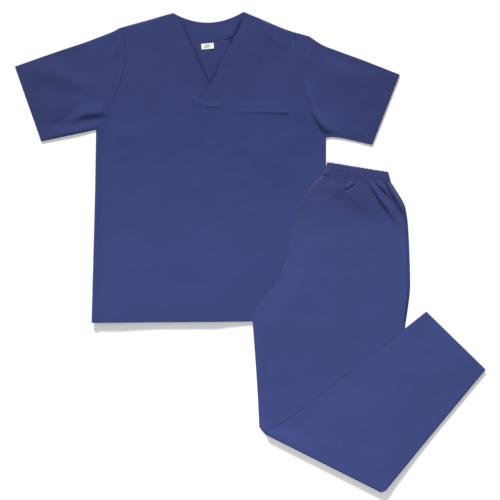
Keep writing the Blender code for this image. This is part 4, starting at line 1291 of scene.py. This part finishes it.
def make_waistband():
    """The gathered band: a flat loop of four plies, its section carried along the loop's path.

    The path lies in the upright plane along the waist: straight plies joined by half-round turns. The
    section is a long oval down the band. On the upper ply both faces swell with an uneven sine.
    """
    ply, pitch = 0.0010, 0.00112
    turn_steps, across_steps = 9, 40
    width = np.linalg.norm(WAIST_TOP[1] - WAIST_TOP[0])
    heights = ply / 2 + pitch * np.arange(4)
    near, far = 3 * pitch / 2 + ply / 2, width - (pitch + ply) / 2
    along, height, lean, stand, gathered = [], [], [], [], []
    turn = np.linspace(0, np.pi, turn_steps)[1:-1]
    for k in range(4):
        start, stop = (near, far) if k % 2 == 0 else (far, near)
        steps = 420 if k == 3 else 120
        share = np.linspace(0, 1, steps)
        along.append(start + (stop - start) * share)
        height.append(np.full(steps, heights[k]))
        lean.append(np.zeros(steps))
        stand.append(np.full(steps, -1.0 if k % 2 == 0 else 1.0))
        gathered.append(np.full(steps, 1.0 if k == 3 else 0.0))
        right, after = k % 2 == 0, (k + 1) % 4
        middle, radius = (heights[k] + heights[after]) / 2, abs(heights[after] - heights[k]) / 2
        upward = 1 if heights[after] > heights[k] else -1
        swing, ascent = np.sin(turn) * (1 if right else -1), -np.cos(turn) * upward
        facing = 1 if right or k == 3 else -1
        along.append(stop + radius * swing)
        height.append(middle + radius * ascent)
        lean.append(swing * facing)
        stand.append(ascent * facing)
        gathered.append(np.zeros(len(turn)))
    path = along, height, lean, stand, gathered
    along, height, lean, stand, gathered = (np.concatenate(part) for part in path)
    gathered = gathered * smooth(along, near, near + 0.006) * smooth(far - along, 0, 0.006)
    ripple = gathers(along)
    upper_face = np.linspace(0.03, 0.97, across_steps)
    down = np.concatenate([upper_face, [0.99, 1.0, 0.99], upper_face[::-1], [0.01, 0.0, 0.01]])
    face = np.concatenate([
        np.ones(across_steps), [0.6, 0.0, -0.6], -np.ones(across_steps), [-0.6, 0.0, 0.6],
    ])
    sewn_down = 1 - 0.55 * sum(bell(down - share, 0.035) for share in ELASTIC_ROWS)
    bulge = sewn_down * np.sin(np.pi * np.clip(down, 0.02, 0.98)) ** 0.35
    swell = gathered[:, None] * ripple[:, None] * bulge[None, :] * np.where(face > 0, 0.0009, 0.0002)[None, :]
    lift = face[None, :] * ply / 2 + swell + 0.0002 * gathered[:, None]
    a = along[:, None] + lift * lean[:, None]
    z = height[:, None] + lift * stand[:, None]
    share = (a / width)[..., None]
    top_edge = WAIST_TOP[0] * (1 - share) + WAIST_TOP[1] * share
    foot_edge = WAIST_FOOT[0] * (1 - share) + WAIST_FOOT[1] * share
    near_top = (1 - 2 * smooth(down, 0.0, 0.25)) * (down < 0.25)
    scallop = 0.0011 * (ripple[:, None] - 0.5) * near_top[None, :]
    spot = down[None, :, None] - scallop[..., None] / WAISTBAND_DEPTH
    flat = top_edge * (1 - spot) + foot_edge * spot
    base = resting(flat.reshape(-1, 2)).reshape(z.shape)
    points = np.concatenate([flat + TROUSERS, (z + base)[..., None]], axis=2)
    count, around = len(along), len(down)
    index = np.arange(count * around).reshape(count, around)
    after, on = np.roll(index, -1, axis=1), np.roll(index, -1, axis=0)
    faces = np.stack([index, after, np.roll(on, -1, axis=1), on], -1).reshape(-1, 4)
    round_loop = walked(np.column_stack([along, height]))[:, None]
    grain = np.stack(np.broadcast_arrays(round_loop, (down * WAISTBAND_DEPTH)[None, :]), -1).reshape(-1, 2)
    piece = add_mesh(
        "trouser_waistband_casing", points.reshape(-1, 3), [faces], poplin_trousers, grain,
    )
    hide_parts("trouser_waistband")
    chosen = np.flatnonzero(gathered > 0.5)
    columns = [int(np.argmin(np.abs(upper_face - share))) for share in ELASTIC_ROWS]
    return piece, [points[chosen, column] for column in columns]


waistband, elastic_rows = make_waistband()

# ---------------------------------------------------------------------------------------------------------
# Stitching

cuff_shares = np.linspace(0.0, 1.0, 60)
STITCH_RUNS = [
    ("hem_stitching", [seam_row(hem_line, 0.0190, front_place), seam_row(hem_line, 0.0190, back_place, 0.0)]),
    ("armhole_stitching", [
        seam_row(armhole_right, 0.0030, front_place, low=0.02, high=0.98),
        seam_row(armhole_left, -0.0030, front_place, low=0.02, high=0.98),
    ]),
    ("band_stitching", [
        seam_row(straight(foot_right, band_top_right), -0.0022, band_r_place, low=0.02, high=0.98),
        seam_row(straight(foot_left, band_top_left), 0.0022, band_l_place, CLOTH, 0.02, 0.98),
        seam_row(straight(over_end, foot_right, foot_left), 0.0024, band_l_place, CLOTH, 0.02, 0.97),
        seam_row(straight(under_end, OPENING_RIGHT, NECK_RIGHT), 0.0030, band_r_place, low=0.30, high=0.98),
        seam_row(straight(over_end, OPENING_LEFT, NECK_LEFT), -0.0030, band_l_place, CLOTH, 0.02, 0.98),
    ]),
    ("facing_stitching", [seam_row(facing_edge, 0.0025, facing_place, low=0.06, high=0.94)]),
    ("pocket_stitching", [
        seam_row(pocket_outline, 0.0020, pocket_place, CLOTH, 0.004, 0.996),
        seam_row(pocket_outline, 0.0075, pocket_place, CLOTH, 0.01, 0.99),
        seam_row(straight(pocket_outline[0], pocket_outline[5]), -0.0210, pocket_place, CLOTH, 0.02, 0.98),
    ]),
    ("cuff_stitching", [cuff_right(cuff_shares, 0.0220), cuff_left(cuff_shares, 0.0220)]),
    ("trouser_hem_stitching", [
        seam_row(under_unfold(straight(HEM_INNER, HEM_OUTER)), 0.0240, under_place, 0.0, 0.01, 0.99),
    ]),
    ("waistband_stitching", elastic_rows),
]
sewn = {name: stitches(name, runs, thread) for name, runs in STITCH_RUNS}

sheet_of(back, back_plan)
sheet_of(
    front, front_plan,
)
sheet_of(band_r, band_r_plan)
sheet_of(band_l, band_l_plan)
sheet_of(facing, facing_plan)
sheet_of(pocket, pocket_plan)
sheet_of(outside_leg, outside_plan)
sheet_of(front_upper, front_upper_plan)
sheet_of(front_lower, front_lower_plan)
sheet_of(
    under_leg, under_plan,
)

# ---------------------------------------------------------------------------------------------------------
# Floor, light and camera


def make_floor():
    """A plain square floor, just under the cloth."""
    size = 6.0
    corners = np.array([(-size, -size, 0), (size, -size, 0), (size, size, 0), (-size, size, 0)], float)
    mesh = bpy.data.meshes.new("floor")
    mesh.from_pydata(corners.tolist(), [], [(0, 1, 2, 3)])
    mesh.materials.append(nodes_of("white_floor", (0.90, 0.90, 0.90), 0.9)[0])
    floor = bpy.data.objects.new("floor", mesh)
    floor.location.z = -0.0002
    bpy.context.scene.collection.objects.link(floor)


def make_sun(name, heading, elevation, floor_light, width):
    """A distant light from a heading, degrees clockwise from +Y, with a given light on the flat floor."""
    light = bpy.data.lights.new(name, "SUN")
    light.energy, light.angle = floor_light * np.pi / np.sin(np.radians(elevation)), np.radians(width)
    lamp = bpy.data.objects.new(name, light)
    lamp.rotation_euler = (np.radians(elevation - 90), 0, np.radians(-heading))
    bpy.context.scene.collection.objects.link(lamp)


def make_fill(name, place, size, power):
    """A broad soft light over the lower edge, turned towards the middle of the floor."""
    light = bpy.data.lights.new(name, "AREA")
    light.shape, light.size, light.energy = "DISK", size, power
    lamp = bpy.data.objects.new(name, light)
    lamp.location = place
    lamp.rotation_euler = (np.arctan2(-place[1], place[2]) * 0.55, 0, 0)
    bpy.context.scene.collection.objects.link(lamp)


def make_camera():
    """A camera straight above, as far off as its lens needs for the width of the view."""
    view_width, lens, sensor = 1.2, 85.0, 36.0
    camera = bpy.data.cameras.new("overhead")
    camera.lens, camera.sensor_width = lens, sensor
    camera.clip_start, camera.clip_end = 0.05, 50.0
    holder = bpy.data.objects.new("overhead", camera)
    holder.location = (-0.0006, 0.0049, view_width * lens / sensor)
    bpy.context.scene.collection.objects.link(holder)
    bpy.context.scene.camera = holder


make_floor()
make_sun("window_light", heading=-14, elevation=17, floor_light=0.62, width=8)
make_fill("lower_fill", place=(-0.25, -1.1, 1.3), size=1.4, power=7.0)
world = bpy.data.worlds.new("studio")
world.use_nodes = True
background = world.node_tree.nodes["Background"].inputs
background["Color"].default_value = (1.0, 1.0, 1.0, 1.0)
background["Strength"].default_value = 0.45
bpy.context.scene.world = world
bpy.context.scene.view_settings.view_transform = "Standard"
make_camera()
